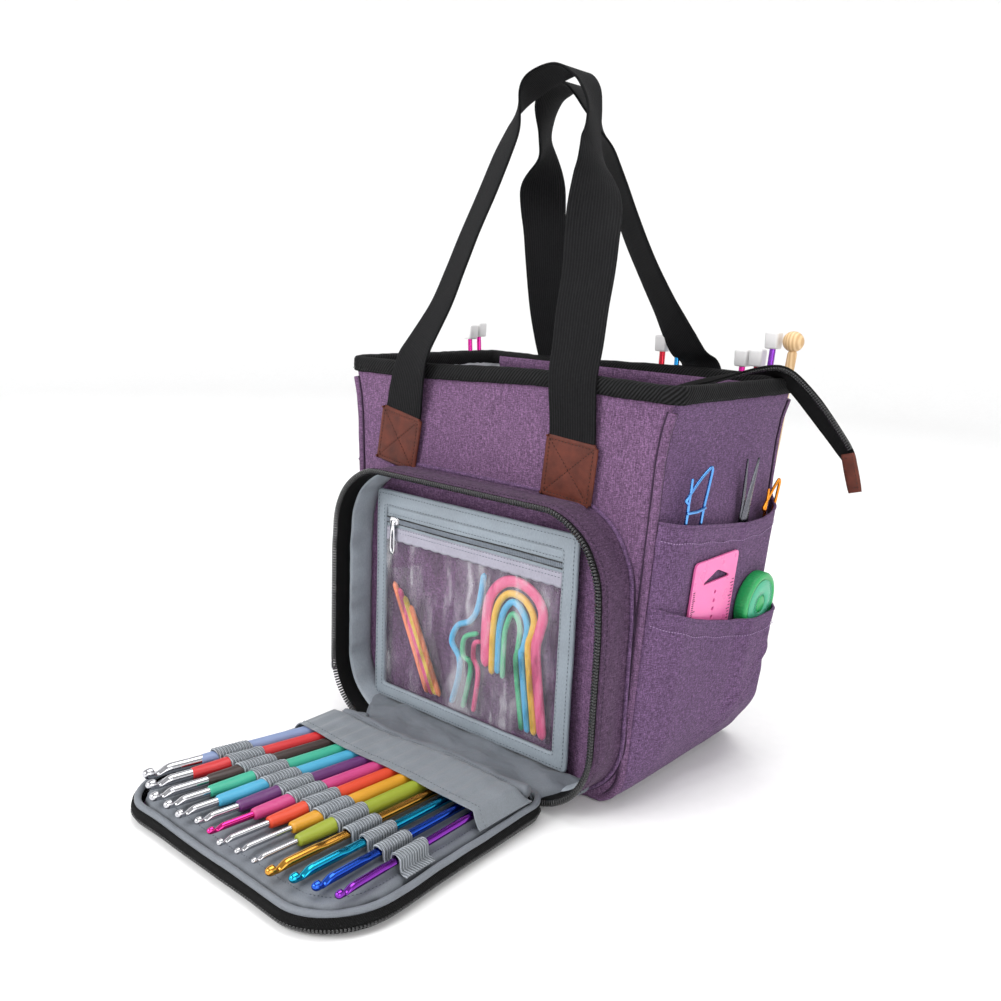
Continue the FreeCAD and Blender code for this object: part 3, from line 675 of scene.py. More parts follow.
def body_point(index, up, inset=0.0):
    """A point on the bag's wall: index round the plan, up from 0 (base) to 1 (rim)."""
    side, s, corner = PLAN[index]
    z = up * HEIGHT
    w = float(half_width(z))
    depth = (BACK_Y - FRONT_Y) / 2
    middle = (BACK_Y + FRONT_Y) / 2
    reach_x = w - PLAN_R
    reach_y = depth - PLAN_R
    belly = math.sin(math.pi * min(1, up * 1.05)) * (1 - s * s)
    swell = (1.5, 3.0, 3.0, 3.0)[side] * belly
    r = PLAN_R
    if side == 0:
        x, y, nx, ny = s * reach_x, -depth, 0.0, -1.0
        cx, cy = reach_x, -reach_y
    elif side == 1:
        x, y, nx, ny = w, s * reach_y, 1.0, 0.0
        cx, cy = reach_x, reach_y
    elif side == 2:
        x, y, nx, ny = -s * reach_x, depth, 0.0, 1.0
        cx, cy = -reach_x, reach_y
    else:
        x, y, nx, ny = -w, -s * reach_y, -1.0, 0.0
        cx, cy = -reach_x, -reach_y
    if corner:
        base = math.atan2(ny, nx)
        nx, ny = math.cos(base + corner), math.sin(base + corner)
        x, y = cx + r * nx, cy + r * ny
    x += nx * (swell - inset)
    y += ny * (swell - inset) + middle
    z = up * rim_height(x, y)
    ripple = 1.3 * wobble(x, y, z, 70.0, 3.0) + 0.5 * wobble(x, y, z, 24.0, 9.0)
    ripple *= min(1.0, 2.2 * (1 - abs(s)) + 0.15) * min(1.0, 8 * up)
    return np.array([x + nx * ripple, y + ny * ripple, z]), np.array([nx, ny, 0.0])


LEVELS = np.concatenate([np.linspace(0, 0.1, 14, endpoint=False), np.linspace(0.1, 1.0, N_UP)])


def wall_grid(indexes, inset=0.0, low=0.0):
    ups = [u for u in LEVELS if u >= low]
    return np.array([[body_point(i % len(PLAN), u, inset)[0] for u in ups] for i in indexes])


def make_walls():
    """The four padded sides and the bottom."""
    half = N_CORNER // 2
    names = ("front_cloth", "right_side_cloth", "back_cloth", "left_side_cloth")
    nodes = ("front_panel", "right_side_panel", "back_panel", "left_side_panel")
    counts = (N_FRONT, N_SIDE, N_FRONT, N_SIDE)
    for side in range(4):
        start = SIDE_START[side] - half
        indexes = range(start, start + counts[side] + 2 * half + 1)
        # front and back get the lit purple; the sides get its painted-shade copy
        material = purple if side in (0, 2) else purple_side_shaded
        slot = "purple_fabric" if side in (0, 2) else "side_fabric"
        sheet_piece(names[side], wall_grid(indexes), 2.4, material, "bag", (nodes[side],), slot)
    ring = np.array([body_point(i, 0.0)[0] for i in range(len(PLAN))])
    ring[:, 2] = 0.4
    centre = np.array([0, (FRONT_Y + BACK_Y) / 2, 0.4])
    rows = [centre + (ring - centre) * k for k in (1.0, 0.9, 0.7, 0.45, 0.2, 0.02)]
    p = np.array(rows).transpose(1, 0, 2)
    verts, faces, uv = thick_sheet(p, 2.0, True, True)
    build("bottom_cloth", verts, faces, purple_side_shaded, "bag", ("bottom_panel",), "side_fabric", uv)


def make_lining():
    """The inside lining, a little way in from the walls."""
    indexes = range(len(PLAN))
    p = wall_grid(indexes, 4.2, 0.02)
    verts, faces, uv = thick_sheet(p, 0.8, True, True)
    heap = Heap()
    heap.add(verts, faces, uv)
    ring = p[:, 0] + np.array([0, 0, 0.3])
    centre = ring.mean(0)
    floor = np.array([centre + (ring - centre) * k for k in (1.0, 0.75, 0.4, 0.02)]).transpose(1, 0, 2)
    heap.add(*thick_sheet(floor, 0.8, True))
    heap.build("lining_cloth", pale, "bag", ("lining",), "bag_lining")


def rim_line():
    """Points and outward directions round the rim."""
    found = [body_point(i, 1.0) for i in range(len(PLAN))]
    p = np.array([a for a, _ in found])
    n = np.array([b for _, b in found])
    dense = even(np.hstack([p, n]), 420, closed=True)
    return dense[:, :3], dense[:, 3:] / np.linalg.norm(dense[:, 3:], axis=1)[:, None]


def make_binding():
    """The twill tape folded over the rim, and its stitches."""
    p, n = rim_line()
    up = np.array([0, 0, 1.0])
    rows = []
    # (out of the wall, above the rim) round the folded tape
    profile = ((1.0, -9.0), (2.2, -8.6), (2.6, -4.4), (2.4, 0.2), (1.2, 2.0), (-1.6, 2.6), (-4.6, 1.9),
        (-6.2, 0.0), (-6.4, -5), (-5.8, -8.8), (-4.6, -9))
    for k, (out, rise) in enumerate(profile):
        lump = np.array([0.7 * wobble(*q, 16.0, 5.0 + k * 0.05) + 0.35 * wobble(*q, 6.0, 1.0) for q in p])
        rows.append(p + n * (out + lump[:, None] * 0.8)
            + up * (rise + lump[:, None] * (0.9 if rise < -8 else 0.6)))
    rows = np.array(rows).transpose(1, 0, 2)
    verts, faces, uv = thick_sheet(rows, 0.9, True)
    build("rim_binding_tape", verts, faces, black_twill, "bag", ("rim_binding",), "black_twill", uv)
    heap = Heap()
    stitches(heap, p + n * 3.0 + up * -7.2, n, 3.0, 2.0, 0.3, 0.3, closed=True)
    heap.build("rim_binding_stitches", black_teeth, "bag", (), "black_twill")


def seam_path(front):
    """The line of the front or back seam: down one side, along the base, up the other."""
    half = N_CORNER // 2
    right = SIDE_START[1] - half if front else SIDE_START[3] - half
    left = -half if front else SIDE_START[2] - half
    ups = [u for u in LEVELS if u <= 0.955][::-1]
    down = [body_point(right % len(PLAN), u) for u in ups]
    start = SIDE_START[0] if front else SIDE_START[2]
    along = [body_point(i, 0.0) for i in range(start + N_FRONT - 1, start - 1, -1)]
    rise = [body_point(left % len(PLAN), u) for u in ups[::-1]]
    found = down + along + rise
    p = np.array([a for a, _ in found])
    n = np.array([b for _, b in found])
    return p, n


def make_piping():
    """Cloth-covered piping down both seams, with a thin dark tube on each side of it as painted shade in the
    groove there.
    """
    pipes = Heap()
    groove_shadows = Heap()
    for front in (True, False):
        p, n = seam_path(front)
        dense = even(np.hstack([p, n]), 330)
        p, n = dense[:, :3], dense[:, 3:]
        p = p + n * 1.0
        p[:, 2] = np.maximum(p[:, 2], 3.0)
        lump = np.array([0.25 * wobble(*q, 14.0, 2.0) for q in p])
        pipes.add(*tube(p, 3.0 + lump, 12, first=(0, -1, 0)))
        t = tangents(p)
        side = np.cross(t, n)
        side /= np.linalg.norm(side, axis=1)[:, None]
        # painted shade: near-black tubes laid in the groove on each side of the piping
        for s in (-1, 1):
            q = p + side * s * 3.2 - n * 0.7
            q[:, 2] = np.maximum(q[:, 2], 0.6)
            groove_shadows.add(*tube(q, 0.65, 6, first=(0, -1, 0)))
    pipes.build("edge_piping_cloth", purple, "bag", ("edge_piping",), "purple_fabric")
    groove_shadows.build("edge_piping_groove_shadows", purple_dark, "bag", (), "purple_fabric")


# ================= outside pockets and the top zip =================
WALL_TOP = 287.0
# where the side pockets are sewn down, front and back, and how high their feet are
POCKET_FRONT, POCKET_BACK = -79.5, 83.5
UPPER_FOOT, LOWER_FOOT = 62.0, 5.0


def wall_x(y, z):
    """The outer face of the right side at a place; the left side is its mirror image."""
    share = (y - (BACK_Y + FRONT_Y) / 2) / ((BACK_Y - FRONT_Y) / 2 - PLAN_R)
    share = np.clip(share, -1, 1)
    up = np.clip(z / WALL_TOP, 0, 1)
    return half_width(z) + 3.0 * np.sin(np.pi * np.minimum(1, up * 1.05)) * (1 - share**2)


UPPER_HEM = ((-79, 203), (-60, 199), (-35, 195.5), (0, 190.5), (23, 188), (50, 187.5), (68, 190.5),
    (77, 195), (83, 200))
UPPER_BULGE = ((-79, 1.6), (-66, 5.0), (-50, 8.0), (0, 8.2), (28, 9.6), (60, 9.4), (75, 7.0), (83, 1.8))
LOWER_HEM = ((-79, 146), (-60, 139), (-40, 132), (-20, 126.5), (10, 120), (38, 116.5), (60, 117),
    (75, 120), (83, 126))
LOWER_BULGE = ((-79, 1.8), (-68, 7.0), (-50, 13.6), (-10, 14.5), (18, 17.0), (32, 22.5), (66, 23.0),
    (76, 15.0), (83, 2.2))


def pocket_surface(y, z, hem_z, bulge, foot):
    """How far out of the wall a pocket's cloth stands; its foot is quickly clear of the tools inside."""
    full = np.interp(y, *zip(*bulge))
    rise = np.clip((z - foot) / 46.0, 0, 1)
    panel = HALF_BASE + (HALF_RIM - HALF_BASE) * z / HEIGHT
    base = max(0.0, panel - float(wall_x(y, z))) * min(1.0, rise * 3) * min(1.0, (84 - abs(y)) / 12)
    ease = rise * rise * (3 - 2 * rise)
    late = np.clip((z - foot) / (hem_z - foot), 0, 1)
    return 1.6 + base + (full - 1.6) * (0.82 * ease + 0.18 * late)


def tool_gap(y, z):
    """How far out the upper pocket may stand, so that the ruler slides up in front of it."""
    beside = float(np.clip((abs(y + 12) - 32) / 6, 0, 1))
    panel = HALF_BASE + (HALF_RIM - HALF_BASE) * z / HEIGHT
    return panel + 7.0 + beside * (0.6 + max(0.0, (z - 172) * 0.1))


def side_pocket(name, hem, bulge, foot, sense):
    """A side pocket's cloth, hem and stitches; sense is 1 on the right side and -1 on the left."""
    upper = foot == UPPER_FOOT
    rows = []
    for y in np.linspace(POCKET_FRONT, POCKET_BACK, 70):
        top = float(np.interp(y, *zip(*hem)))
        column = []
        for z in np.linspace(foot, top, 44):
            w = float(pocket_surface(y, z, top, bulge, foot))
            w += 0.55 * wobble(y, z, sense * 7.0, 33.0, 4.0) * min(1, (z - foot) / 20)
            near_hem = math.exp(-((top - z - 12.0) / 3.0) ** 2)
            w += 0.35 * near_hem * math.sin(y * 0.9 + 1.5 * math.sin(y * 0.13)) - 0.45 * near_hem
            if not upper:
                # a crease from the front hem down to the back foot
                line = ((z - 24) - (y + 2) * 81 / 89) / 1.35
                fade = min(1, max(0, (z - 18) / 20)) * min(1, max(0, (top - z) / 14))
                w += (1.5 * math.exp(-(line / 3.2) ** 2) - 1.0 * math.exp(-((line + 7) / 4.0) ** 2)) * fade
            x = float(wall_x(y, z)) + w
            if upper:
                x = min(x, tool_gap(y, z))
            column.append((sense * x, y, z))
        rows.append(column)
    p = np.array(rows)
    sheet_piece(name + "_cloth", p, 1.3, purple_side_shaded, "bag", (name,), "side_fabric", flip=sense < 0)
    thread = Heap()
    line = []
    for y in np.linspace(POCKET_FRONT + 2.5, POCKET_BACK - 2.5, 160):
        top = float(np.interp(y, *zip(*hem)))
        z = top - 11.5 + 0.5 * math.sin(y * 0.21)
        w = float(pocket_surface(y, z, top, bulge, foot)) + 0.35
        x = float(wall_x(y, z)) + w
        if upper:
            x = min(x, tool_gap(y, z) + 0.4)
        line.append((sense * x, y, z))
    stitches(thread, line, (sense, 0, 0.05), 2.6, 2.5, 0.38, 0.5)
    thread.build(name + "_stitches", purple_thread, "bag", (), "side_fabric")
    fold = [(sense * (abs(x) - 0.7), y, z) for x, y, z in (column[-1] for column in rows)]
    heap = Heap()
    heap.add(*tube(fold, 1.15, 8, first=(0, 0, 1)))
    heap.build(name + "_hem", purple_side_shaded, "bag", (), "side_fabric")


def make_side_pockets():
    for sense, side in ((1, "right"), (-1, "left")):
        side_pocket(side + "_upper_pocket", UPPER_HEM, UPPER_BULGE, UPPER_FOOT, sense)
        side_pocket(side + "_lower_pocket", LOWER_HEM, LOWER_BULGE, LOWER_FOOT, sense)


def make_back_pocket():
    """The full-width pocket on the back."""
    high = cad("back_pocket")[1]
    rows = []
    for s in np.linspace(-1, 1, 80):
        column = []
        for t in np.linspace(0, 1, 46):
            z = 4.0 + (high[2] - 6.0 + 3.0 * s * s - 4.0) * t
            x = s * (float(half_width(z)) - 3.5)
            edge = min(1.0, (1 - abs(s)) * 14)
            bulge = math.sqrt(edge) * (2.0 + 7.0 * min(1, t * 4) ** 0.7)
            y = high[1] - 9.6 + bulge + 0.6 * wobble(x, z, 5.0, 38.0, 6.0) * edge
            column.append((x, y, z))
        rows.append(column)
    p = np.array(rows)
    sheet_piece("back_pocket_cloth", p, 1.3, purple, "bag", ("back_pocket",), "purple_fabric", flip=True)
    heap = Heap()
    heap.add(*tube(p[:, -1] - np.array([0, 0.6, 0]), 1.2, 8, first=(0, 0, 1)))
    heap.build("back_pocket_hem", purple, "bag", (), "purple_fabric")
    thread = Heap()
    stitches(thread, p[:, -7] + np.array([0, 0.25, 0]), (0, 1, 0), 3.0, 2.2, 0.34, 0.42)
    thread.build("back_pocket_stitches", purple_thread, "bag", (), "purple_fabric")


def make_top_zip():
    """The mouth's two zip strips, hanging inside it, and the facings that join them to the rim."""
    for name, body, slot in (("top_zip_strip_front", "top_strip_front", 1),
            ("top_zip_strip_back", "top_strip_back", -1)):
        low, high = cad(name)
        middle = (low[1] + high[1]) / 2
        wall = FRONT_Y + 8.0 if slot > 0 else BACK_Y - 8.0
        # (y, height) down the facing, from under the rim to the strip
        line = ((wall, 282.0), (wall + 0.3 * slot, 277.0), (wall * 0.7 + middle * 0.3, 273.0),
            (middle - 1.4 * slot, 270.2))
        rows = []
        for x in np.linspace(low[0] + 2, high[0] - 2, 110):
            rows.append([(x, y + 0.7 * wobble(x, z, 5.0, 30.0, 3.0), z) for y, z in line])
        facing = sheet_piece(name + "_facing", np.array(rows), 1.0, purple, "bag", (), "purple_fabric")
        rows = []
        tape = []
        for x in np.linspace(low[0] + 2, high[0] - 2, 110):
            column = []
            edge = []
            lean = 1.5 if slot > 0 else 17.0
            for t in np.linspace(0, 1, 20):
                z = high[2] + 0.5 + (low[2] + 9 - high[2]) * t
                y = middle + slot * (lean * t + 1.6 * t * math.sin(x / 17.0 + 2.0 * t)
                    + 1.2 * t * wobble(x, z, 0, 40.0, 8.0))
                column.append((x, y, z))
            for t in (0.0, 0.5, 1.0):
                end = column[-1]
                edge.append((x, end[1] + slot * 0.9, end[2] + 6.0 - 15.0 * t))
            rows.append(column)
            tape.append(edge)
        cloth = sheet_piece(name + "_cloth", np.array(rows), 1.2, purple, body, (name,), "purple_fabric")
        sheet_piece(name + "_tape", np.array(tape), 0.7, black_tape, body, (), "zip_black")
        heap = Heap()
        line = np.array([e[-1] for e in tape])
        teeth(heap, line, np.tile((0, slot, 0.15), (len(line), 1)), 1.8, (0.5, 1.2, 0.7))
        heap.build(name + "_teeth", black_teeth, body, (), "zip_black")


# ================= the hook case on the front =================
CASE_POINTS = 300


def case_ring(inset, grow=0.0):
    """The case's outline, moved in by inset; grow rounds its upper corners more."""
    low, high = CASE_LOW, CASE_HIGH
    outline = rounded_rect(low[0], high[0], low[2], high[2], CASE_R, CASE_POINTS)
    normal = outward(outline)
    for k, (x, z) in enumerate(outline):
        top = max(0.0, min(1.0, (z - 120) / 60))
        corner = max(0.0, abs(x) - 70) / 56
        pull = 3.2 * top * corner * (1 if x < 0 else 1.3) - 0.8
        pull += 0.9 * wobble(x, z, 3.0, 34.0, 11.0) * min(1.0, z / 40)
        outline[k] -= normal[k] * (inset + max(0.0, pull) + grow * top * corner)
    return outline, normal


def ring_grid(stations):
    """A closed band through stations (y, inset), following the case's outline."""
    rows = []
    for y, inset in stations:
        outline, _ = case_ring(inset)
        ys = np.full(len(outline), float(y))
        rows.append(np.stack([outline[:, 0], ys, outline[:, 1]], axis=1))
    return np.array(rows).transpose(1, 0, 2)


def above_floor(p, low):
    """Points with none of them lower than low."""
    p[..., 2] = np.maximum(p[..., 2], low)
    return p


def make_case():
    """The hook case's side wall, lining and zip."""
    base_y = FRONT_Y + 0.6
    front = CASE_LOW[1]
    cloth = ring_grid([(base_y, -3.2), (base_y - 1.8, -1.2), (base_y - 6, 0.3), (base_y - 14, -0.6),
        (base_y - 22, -0.5), (front + 8, 0.2), (front + 5.2, 0.9)])
    for i in range(cloth.shape[0]):
        for j in range(1, 5):
            x, y, z = cloth[i, j]
            cloth[i, j] += np.array([math.copysign(1, x), 0, 0]) * 0.7 * wobble(x, y, z, 18.0, 2.0)
    # the gusset wears the darkened purple: painted shade in the gap between the case and the front
    sheet_piece("case_gusset_cloth", above_floor(cloth, 0.6), 1.5, purple_gusset_shade, "bag", ("case_gusset",),
        "side_fabric", wrap_u=True)
    pipe = ring_grid([(base_y - 1.6, -2.2)])[:, 0]
    heap = Heap()
    heap.add(*tube(above_floor(pipe, 1.8), 1.5, 8, closed=True, first=(0, -1, 0)))
    heap.build("case_seam_fold", purple_side_shaded, "bag", (), "side_fabric")
    shadow = Heap()
    shadow.add(*tube(above_floor(ring_grid([(base_y - 0.2, -3.9)])[:, 0], 0.8), 0.6, 6, closed=True,
        first=(0, -1, 0)))
    shadow.build("case_seam_shadow", purple_dark, "bag", (), "side_fabric")
    heap = Heap()
    line = ring_grid([(front + 8.6, -0.75)])[:, 0]
    _, normal = case_ring(0)
    out = np.stack([normal[:, 0], np.zeros(len(normal)), normal[:, 1]], axis=1)
    upper = [i for i in range(len(line)) if line[i][2] > 6]
    first = upper[0]
    order = [i for i in range(first, first + len(line)) if line[i % len(line)][2] > 6]
    order = [i % len(line) for i in order]
    stitches(heap, line[order], out[order], 3.2, 2.3, 0.3, 0.4)
    heap.build("case_gusset_stitches", purple_dark, "bag", (), "side_fabric")

    tape = ring_grid([(front + 9, 0.9), (front + 5, 1.1), (front + 1.0, 1.3), (front - 0.4, 2.1),
        (front + 1.2, 3.0), (front + 7, 3.3), (front + 13.5, 3.6)])
    sheet_piece("case_zip_tape_cloth", above_floor(tape, 0.8), 0.9, black_tape, "bag", ("case_zip_tape",),
        "zip_black", wrap_u=True)
    line = above_floor(ring_grid([(front - 0.6, 0.4)])[:, 0], 1.6)
    chain = Heap()
    side = np.stack([normal[:, 0], np.full(len(normal), -0.35), normal[:, 1]], axis=1)
    teeth(chain, line, side, 2.1, (0.68, 2.0, 1.0), closed=True)
    chain.build("case_zip_teeth", black_teeth, "bag", (), "zip_black")

    inner = ring_grid([(front + 12.5, 4.0), (front + 15, 4.7), (front + 20, 4.9), (front + 26, 5.2),
        (base_y - 3, 5.4), (base_y - 0.5, 5.0)])
    for i in range(inner.shape[0]):
        x, y, z = inner[i, 3]
        pucker = 0.9 * math.sin(i * 0.83 + 2 * math.sin(i * 0.11)) + 1.1 * wobble(x, z, 9.0, 15.0, 7.0)
        nx, nz = normal[i]
        for j, share in ((1, 0.5), (2, 0.9), (3, 1.0), (4, 0.7)):
            inner[i, j] -= np.array([nx, 0, nz]) * pucker * share
    sheet_piece("case_lining_cloth", above_floor(inner, 1.2), 0.9, grey, "bag", ("case_lining",),
        "grey_lining", wrap_u=True)


def frame_ring(inset, count=300, r=2.6):
    """The clear pocket's outline; its left binding is narrower than its right."""
    low, high = WINDOW_LOW, WINDOW_HIGH
    left, right, foot = (0.74, 1.0, 0.84) if inset > 0 else (1.0, 1.0, 1.0)
    return rounded_rect(low[0] + inset * left, high[0] - inset * right, low[2] + inset * foot,
        high[2] - inset, max(1.5, r - inset), count)


def frame_grid(stations, count=300):
    """A band through stations (y, inset), following the clear pocket's outline."""
    rows = []
    for y, inset in stations:
        outline = frame_ring(inset, count)
        lump = np.array([0.5 * wobble(a, b, y, 20.0, 5.0) for a, b in outline])
        rows.append(np.stack([outline[:, 0], np.full(count, float(y)) + lump, outline[:, 1]], axis=1))
    return np.array(rows).transpose(1, 0, 2)


def make_window():
    """The clear pocket in the case: binding, zip, satin band and film."""
    front = WINDOW_LOW[1]
    band = frame_grid([(front + 3.4, 0.4), (front + 2.4, -0.4), (front + 1.0, -0.4), (front + 0.4, 0.9),
        (front + 0.2, 6.0), (front + 0.3, 10.5), (front + 0.8, 12.4), (front + 2.4, 13.0),
        (front + 4.0, 12.6)])
    sheet_piece("window_binding_cloth", band, 1.0, grey_tape, "bag", ("window_binding",), "grey_lining",
        wrap_u=True)
    heap = Heap()
    for inset in (2.6, 11.0):
        line = frame_grid([(front + 0.1, inset)])[:, 0]
        stitches(heap, line, (0, -1, 0), 3.0, 2.1, 0.28, 0.32, closed=True)
    heap.build("window_binding_stitches", grey_thread, "bag", (), "grey_lining")

    tape_low, tape_high = cad("window_zip_tape")
    x0, x1 = tape_low[0] - 2.5, tape_high[0] + 0.5
    middle = (tape_low[2] + tape_high[2]) / 2
    y = front + 1.6
    # (lowest, highest) of the two tapes either side of the teeth, and of the satin band under them
    for name, z0, z1, material, depth in (
        ("window_zip_tape_upper", middle + 1.1, tape_high[2] + 1.0, grey_tape, 0.0),
        ("window_zip_tape_lower", middle - 7.5, middle - 1.1, grey_tape, 0.0),
        ("window_band", tape_low[2] - 5.0, middle - 5.0, lilac, -0.7),
    ):
        rows = []
        for x in np.linspace(x0, x1, 120):
            scallop = 0.9 * abs(math.sin(x / 3.1)) if name == "window_band" else 0.0
            zs = np.linspace(z0 - scallop, z1, 8)
            rows.append([(x, y + depth + 0.4 * wobble(x, z, 2.0, 16.0, 3.0), z) for z in zs])
        replaced = ("window_zip_tape",) if name == "window_zip_tape_lower" else ()
        sheet_piece(name, np.array(rows), 0.7, material, "bag", replaced, "grey_lining")
    chain = Heap()
    for z, lean in ((middle + 0.7, 1), (middle - 0.7, -1)):
        line = np.array([(x, y - 0.5, z) for x in np.linspace(x0, x1, 60)])
        teeth(chain, line, np.tile((0, 0.1, lean), (60, 1)), 1.5, (0.5, 0.95, 0.6))
    chain.build("window_zip_teeth", grey_teeth, "bag", (), "zip_black")
    slots = Heap()
    for z in (middle + 2.1, middle - 2.1):
        line = [(x, y - 0.5, z + 0.3 * math.sin(x / 19.0)) for x in np.linspace(x0, x1, 60)]
        slots.add(*tube(line, 0.55, 8, first=(0, 0, 1)))
    slots.build("window_zip_edges", black_teeth, "bag", (), "zip_black")
    threads = Heap()
    for z in (middle + 5.2, middle - 5.6, tape_low[2] + 1.4):
        line = [(x, y - 0.75, z) for x in np.linspace(x0 + 1, x1 - 1, 60)]
        stitches(threads, line, (0, -1, 0), 2.8, 2.0, 0.28, 0.3)
    threads.build("window_zip_stitches", grey_thread, "bag", (), "grey_lining")

    low, high = cad("clear_window")
    rows = []
    for x in np.linspace(low[0] - 3.5, high[0] + 0.6, 110):
        column = []
        for z in np.linspace(low[2] - 0.5, high[2] + 3, 90):
            s = (x - low[0]) / (high[0] - low[0])
            t = (z - low[2]) / (high[2] - low[2])
            edge = min(1.0, 9 * min(s, 1 - s, t, 1 - t) + 0.05) if 0 < s < 1 and 0 < t < 1 else 0.05
            swell = 0.9 * math.exp(-((x - 30) / 45) ** 2 - ((z - 80) / 60) ** 2)
            folds = 0.55 * wobble(x, z, 1.0, 30.0, 2.0) + 0.35 * wobble(x * 1.7 + z, z - x, 4.0, 22.0, 6.0)
            column.append((x, front + 1.6 - edge * (swell + 0.9 * folds), z))
        rows.append(column)
    sheet_piece("clear_window_film", np.array(rows), 0.25, window_film, "bag", ("clear_window",),
        "clear_film")


def make_hinge_cloth():
    """The grey cloth that runs from under the clear pocket, over the hinge, to the flap's pad."""
    # (y, height, half width) across the fold
    line = ((-84.5, 11.5, 106), (-88.5, 13.6, 108), (-94, 14.2, 107), (-101, 13.0, 103), (-108, 11.6, 96),
        (-114, 10.6, 92), (-119.5, 10.6, 90), (-125.0, 11.8, 89), (-130.0, 14.6, 90), (-135.0, 18.4, 90),
        (-139.0, 18.6, 90))
    path = smooth_path(line, 44)
    rows = []
    for s in np.linspace(-1, 1, 120):
        column = []
        for k, (y, z, half) in enumerate(path):
            x = s * half - 1.0
            share = min(1.0, k / 6) * min(1.0, (43 - k) / 6)
            fold = 3.2 * wobble(x, y * 1.6, 0.0, 19.0, 4.0) + 0.8 * abs(wobble(x, y * 3, 2.0, 11.0, 8.0))
            fold += math.sin(x / 15.0 + y / 6.0) * math.exp(-((y + 106) / 8) ** 2)
            shift = 3.0 * wobble(x, 3.0, 1.0, 48.0, 2.0) * share
            askew = (ridge_y(x) + 141.5) * max(0.0, (k - 26) / 17)
            edge_drop = 5.0 * max(0.0, (abs(s) - 0.9) / 0.1) ** 2
            column.append((x, y + askew - shift, z + fold * share - edge_drop * share))
        rows.append(column)
    p = above_floor(np.array(rows), 1.2)
    piece = sheet_piece("hinge_cloth", p, 0.9, grey_pad_shaded, None, ("hinge_gusset",), "grey_lining")
    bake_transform(piece)


# ================= the flap =================
# The flap's cloth is softer than its board: it draws in towards the hinge. (y, left edge, right edge)
FLAP_SIDES = ((-330, -115, 104), (-285, -114, 105), (-240, -109, 103), (-180, -102, 101), (-140, -95, 99),
    (-100, -92, 96))
FLAP_CORNERS = (17.0, 50.0, 44.0)
FLAP_HALF = 130.0


def flap_ring(inset, count=260, near=None):
    """The flap's outline laid flat, from the hinge's right end round the front to its left end."""
    back = HINGE_Y - 4.0 if near is None else near
    y, left, right = (np.array(c, float) for c in zip(*FLAP_SIDES))
    half = (right - left) / 2
    x0, x1 = inset - FLAP_HALF, FLAP_HALF - inset
    front = FLAP_FRONT + 1.0 + inset
    near_r, right_r, left_r = (max(4.0, r - inset * 0.7) for r in FLAP_CORNERS)
    corner = np.linspace(0, math.pi / 2, 20)
    points = [(x1 - near_r + near_r * math.sin(a), back - near_r + near_r * math.cos(a)) for a in corner]
    points += [(x1 - right_r + right_r * math.cos(a), front + right_r - right_r * math.sin(a))
        for a in corner]
    points += [(x0 + left_r - left_r * math.sin(a), front + left_r - left_r * math.cos(a)) for a in corner]
    points += [(x0 + near_r - near_r * math.cos(a), back - near_r + near_r * math.sin(a)) for a in corner]
    line = even(points, count)
    middle = np.interp(line[:, 1], y, (left + right) / 2)
    reach = np.interp(line[:, 1], y, half)
    line[:, 0] = middle + line[:, 0] * reach / FLAP_HALF
    t = tangents(line)
    normal = np.stack([-t[:, 1], t[:, 0]], axis=1)
    if normal[count // 4][0] < 0:
        normal = -normal
    for k, (a, b) in enumerate(line):
        line[k] += normal[k] * 1.1 * wobble(a, b, 6.0, 45.0, 8.0)
    return line, normal


def flap_band(stations, count=260):
    """A band through stations (height, inset), following the flap's outline."""
    rows = []
    for z, inset in stations:
        line, _ = flap_ring(inset, count)
        rows.append(at_height(line, z))
    return np.array(rows).transpose(1, 0, 2)


def at_height(line, z):
    """A line of (x, y) points, laid level at a height."""
    return np.stack([line[:, 0], line[:, 1], np.full(len(line), float(z))], axis=1)


def edge_gap(points, line):
    """How far each point (x, y) is from a line."""
    gap = np.full(len(points), 1e9)
    for a, b in line:
        gap = np.minimum(gap, np.hypot(points[:, 0] - a, points[:, 1] - b))
    return gap


def flap_slab(inset, top, under, columns=90, rows=84, near=None):
    """A closed slab inside the flap's outline; top(x, y, edge) gives its upper height."""
    line, _ = flap_ring(inset, 400, near)
    back = line[0][1]
    front = line[:, 1].min()
    right = line[: len(line) // 2]
    left = line[len(line) // 2:]
    grid = np.zeros((rows, columns, 3))
    for i, t in enumerate(np.linspace(0, 1, rows)):
        y = back + (front - back) * (0.5 - 0.5 * math.cos(math.pi * t))
        y = min(back - 0.3, max(front + 0.4, y))
        xr = float(np.interp(-y, -right[:, 1], right[:, 0]))
        xl = float(np.interp(-y, -left[::-1, 1], left[::-1, 0]))
        bend = np.sin(np.linspace(-1, 1, columns) * math.pi / 2)
        grid[i, :, 0] = (xr + xl) / 2 + (xr - xl) / 2 * bend
        grid[i, :, 1] = y
    flat = grid.reshape(-1, 3)
    edge = edge_gap(flat, line[::2])
    flat[:, 2] = [top(x, y, e) for (x, y, _), e in zip(flat, edge)]
    low = flat.copy()
    low[:, 2] = under
    size = rows * columns
    front_faces = grid_faces(rows, columns)
    faces = front_faces + [tuple(i + size for i in reversed(f)) for f in front_faces]
    for i in range(rows - 1):
        for j in (0, columns - 1):
            faces.append((i * columns + j, (i + 1) * columns + j, (i + 1) * columns + j + size,
                i * columns + j + size))
    for j in range(columns - 1):
        for i in (0, rows - 1):
            faces.append((i * columns + j, i * columns + j + 1, i * columns + j + 1 + size,
                i * columns + j + size))
    return np.vstack([flat, low]), faces


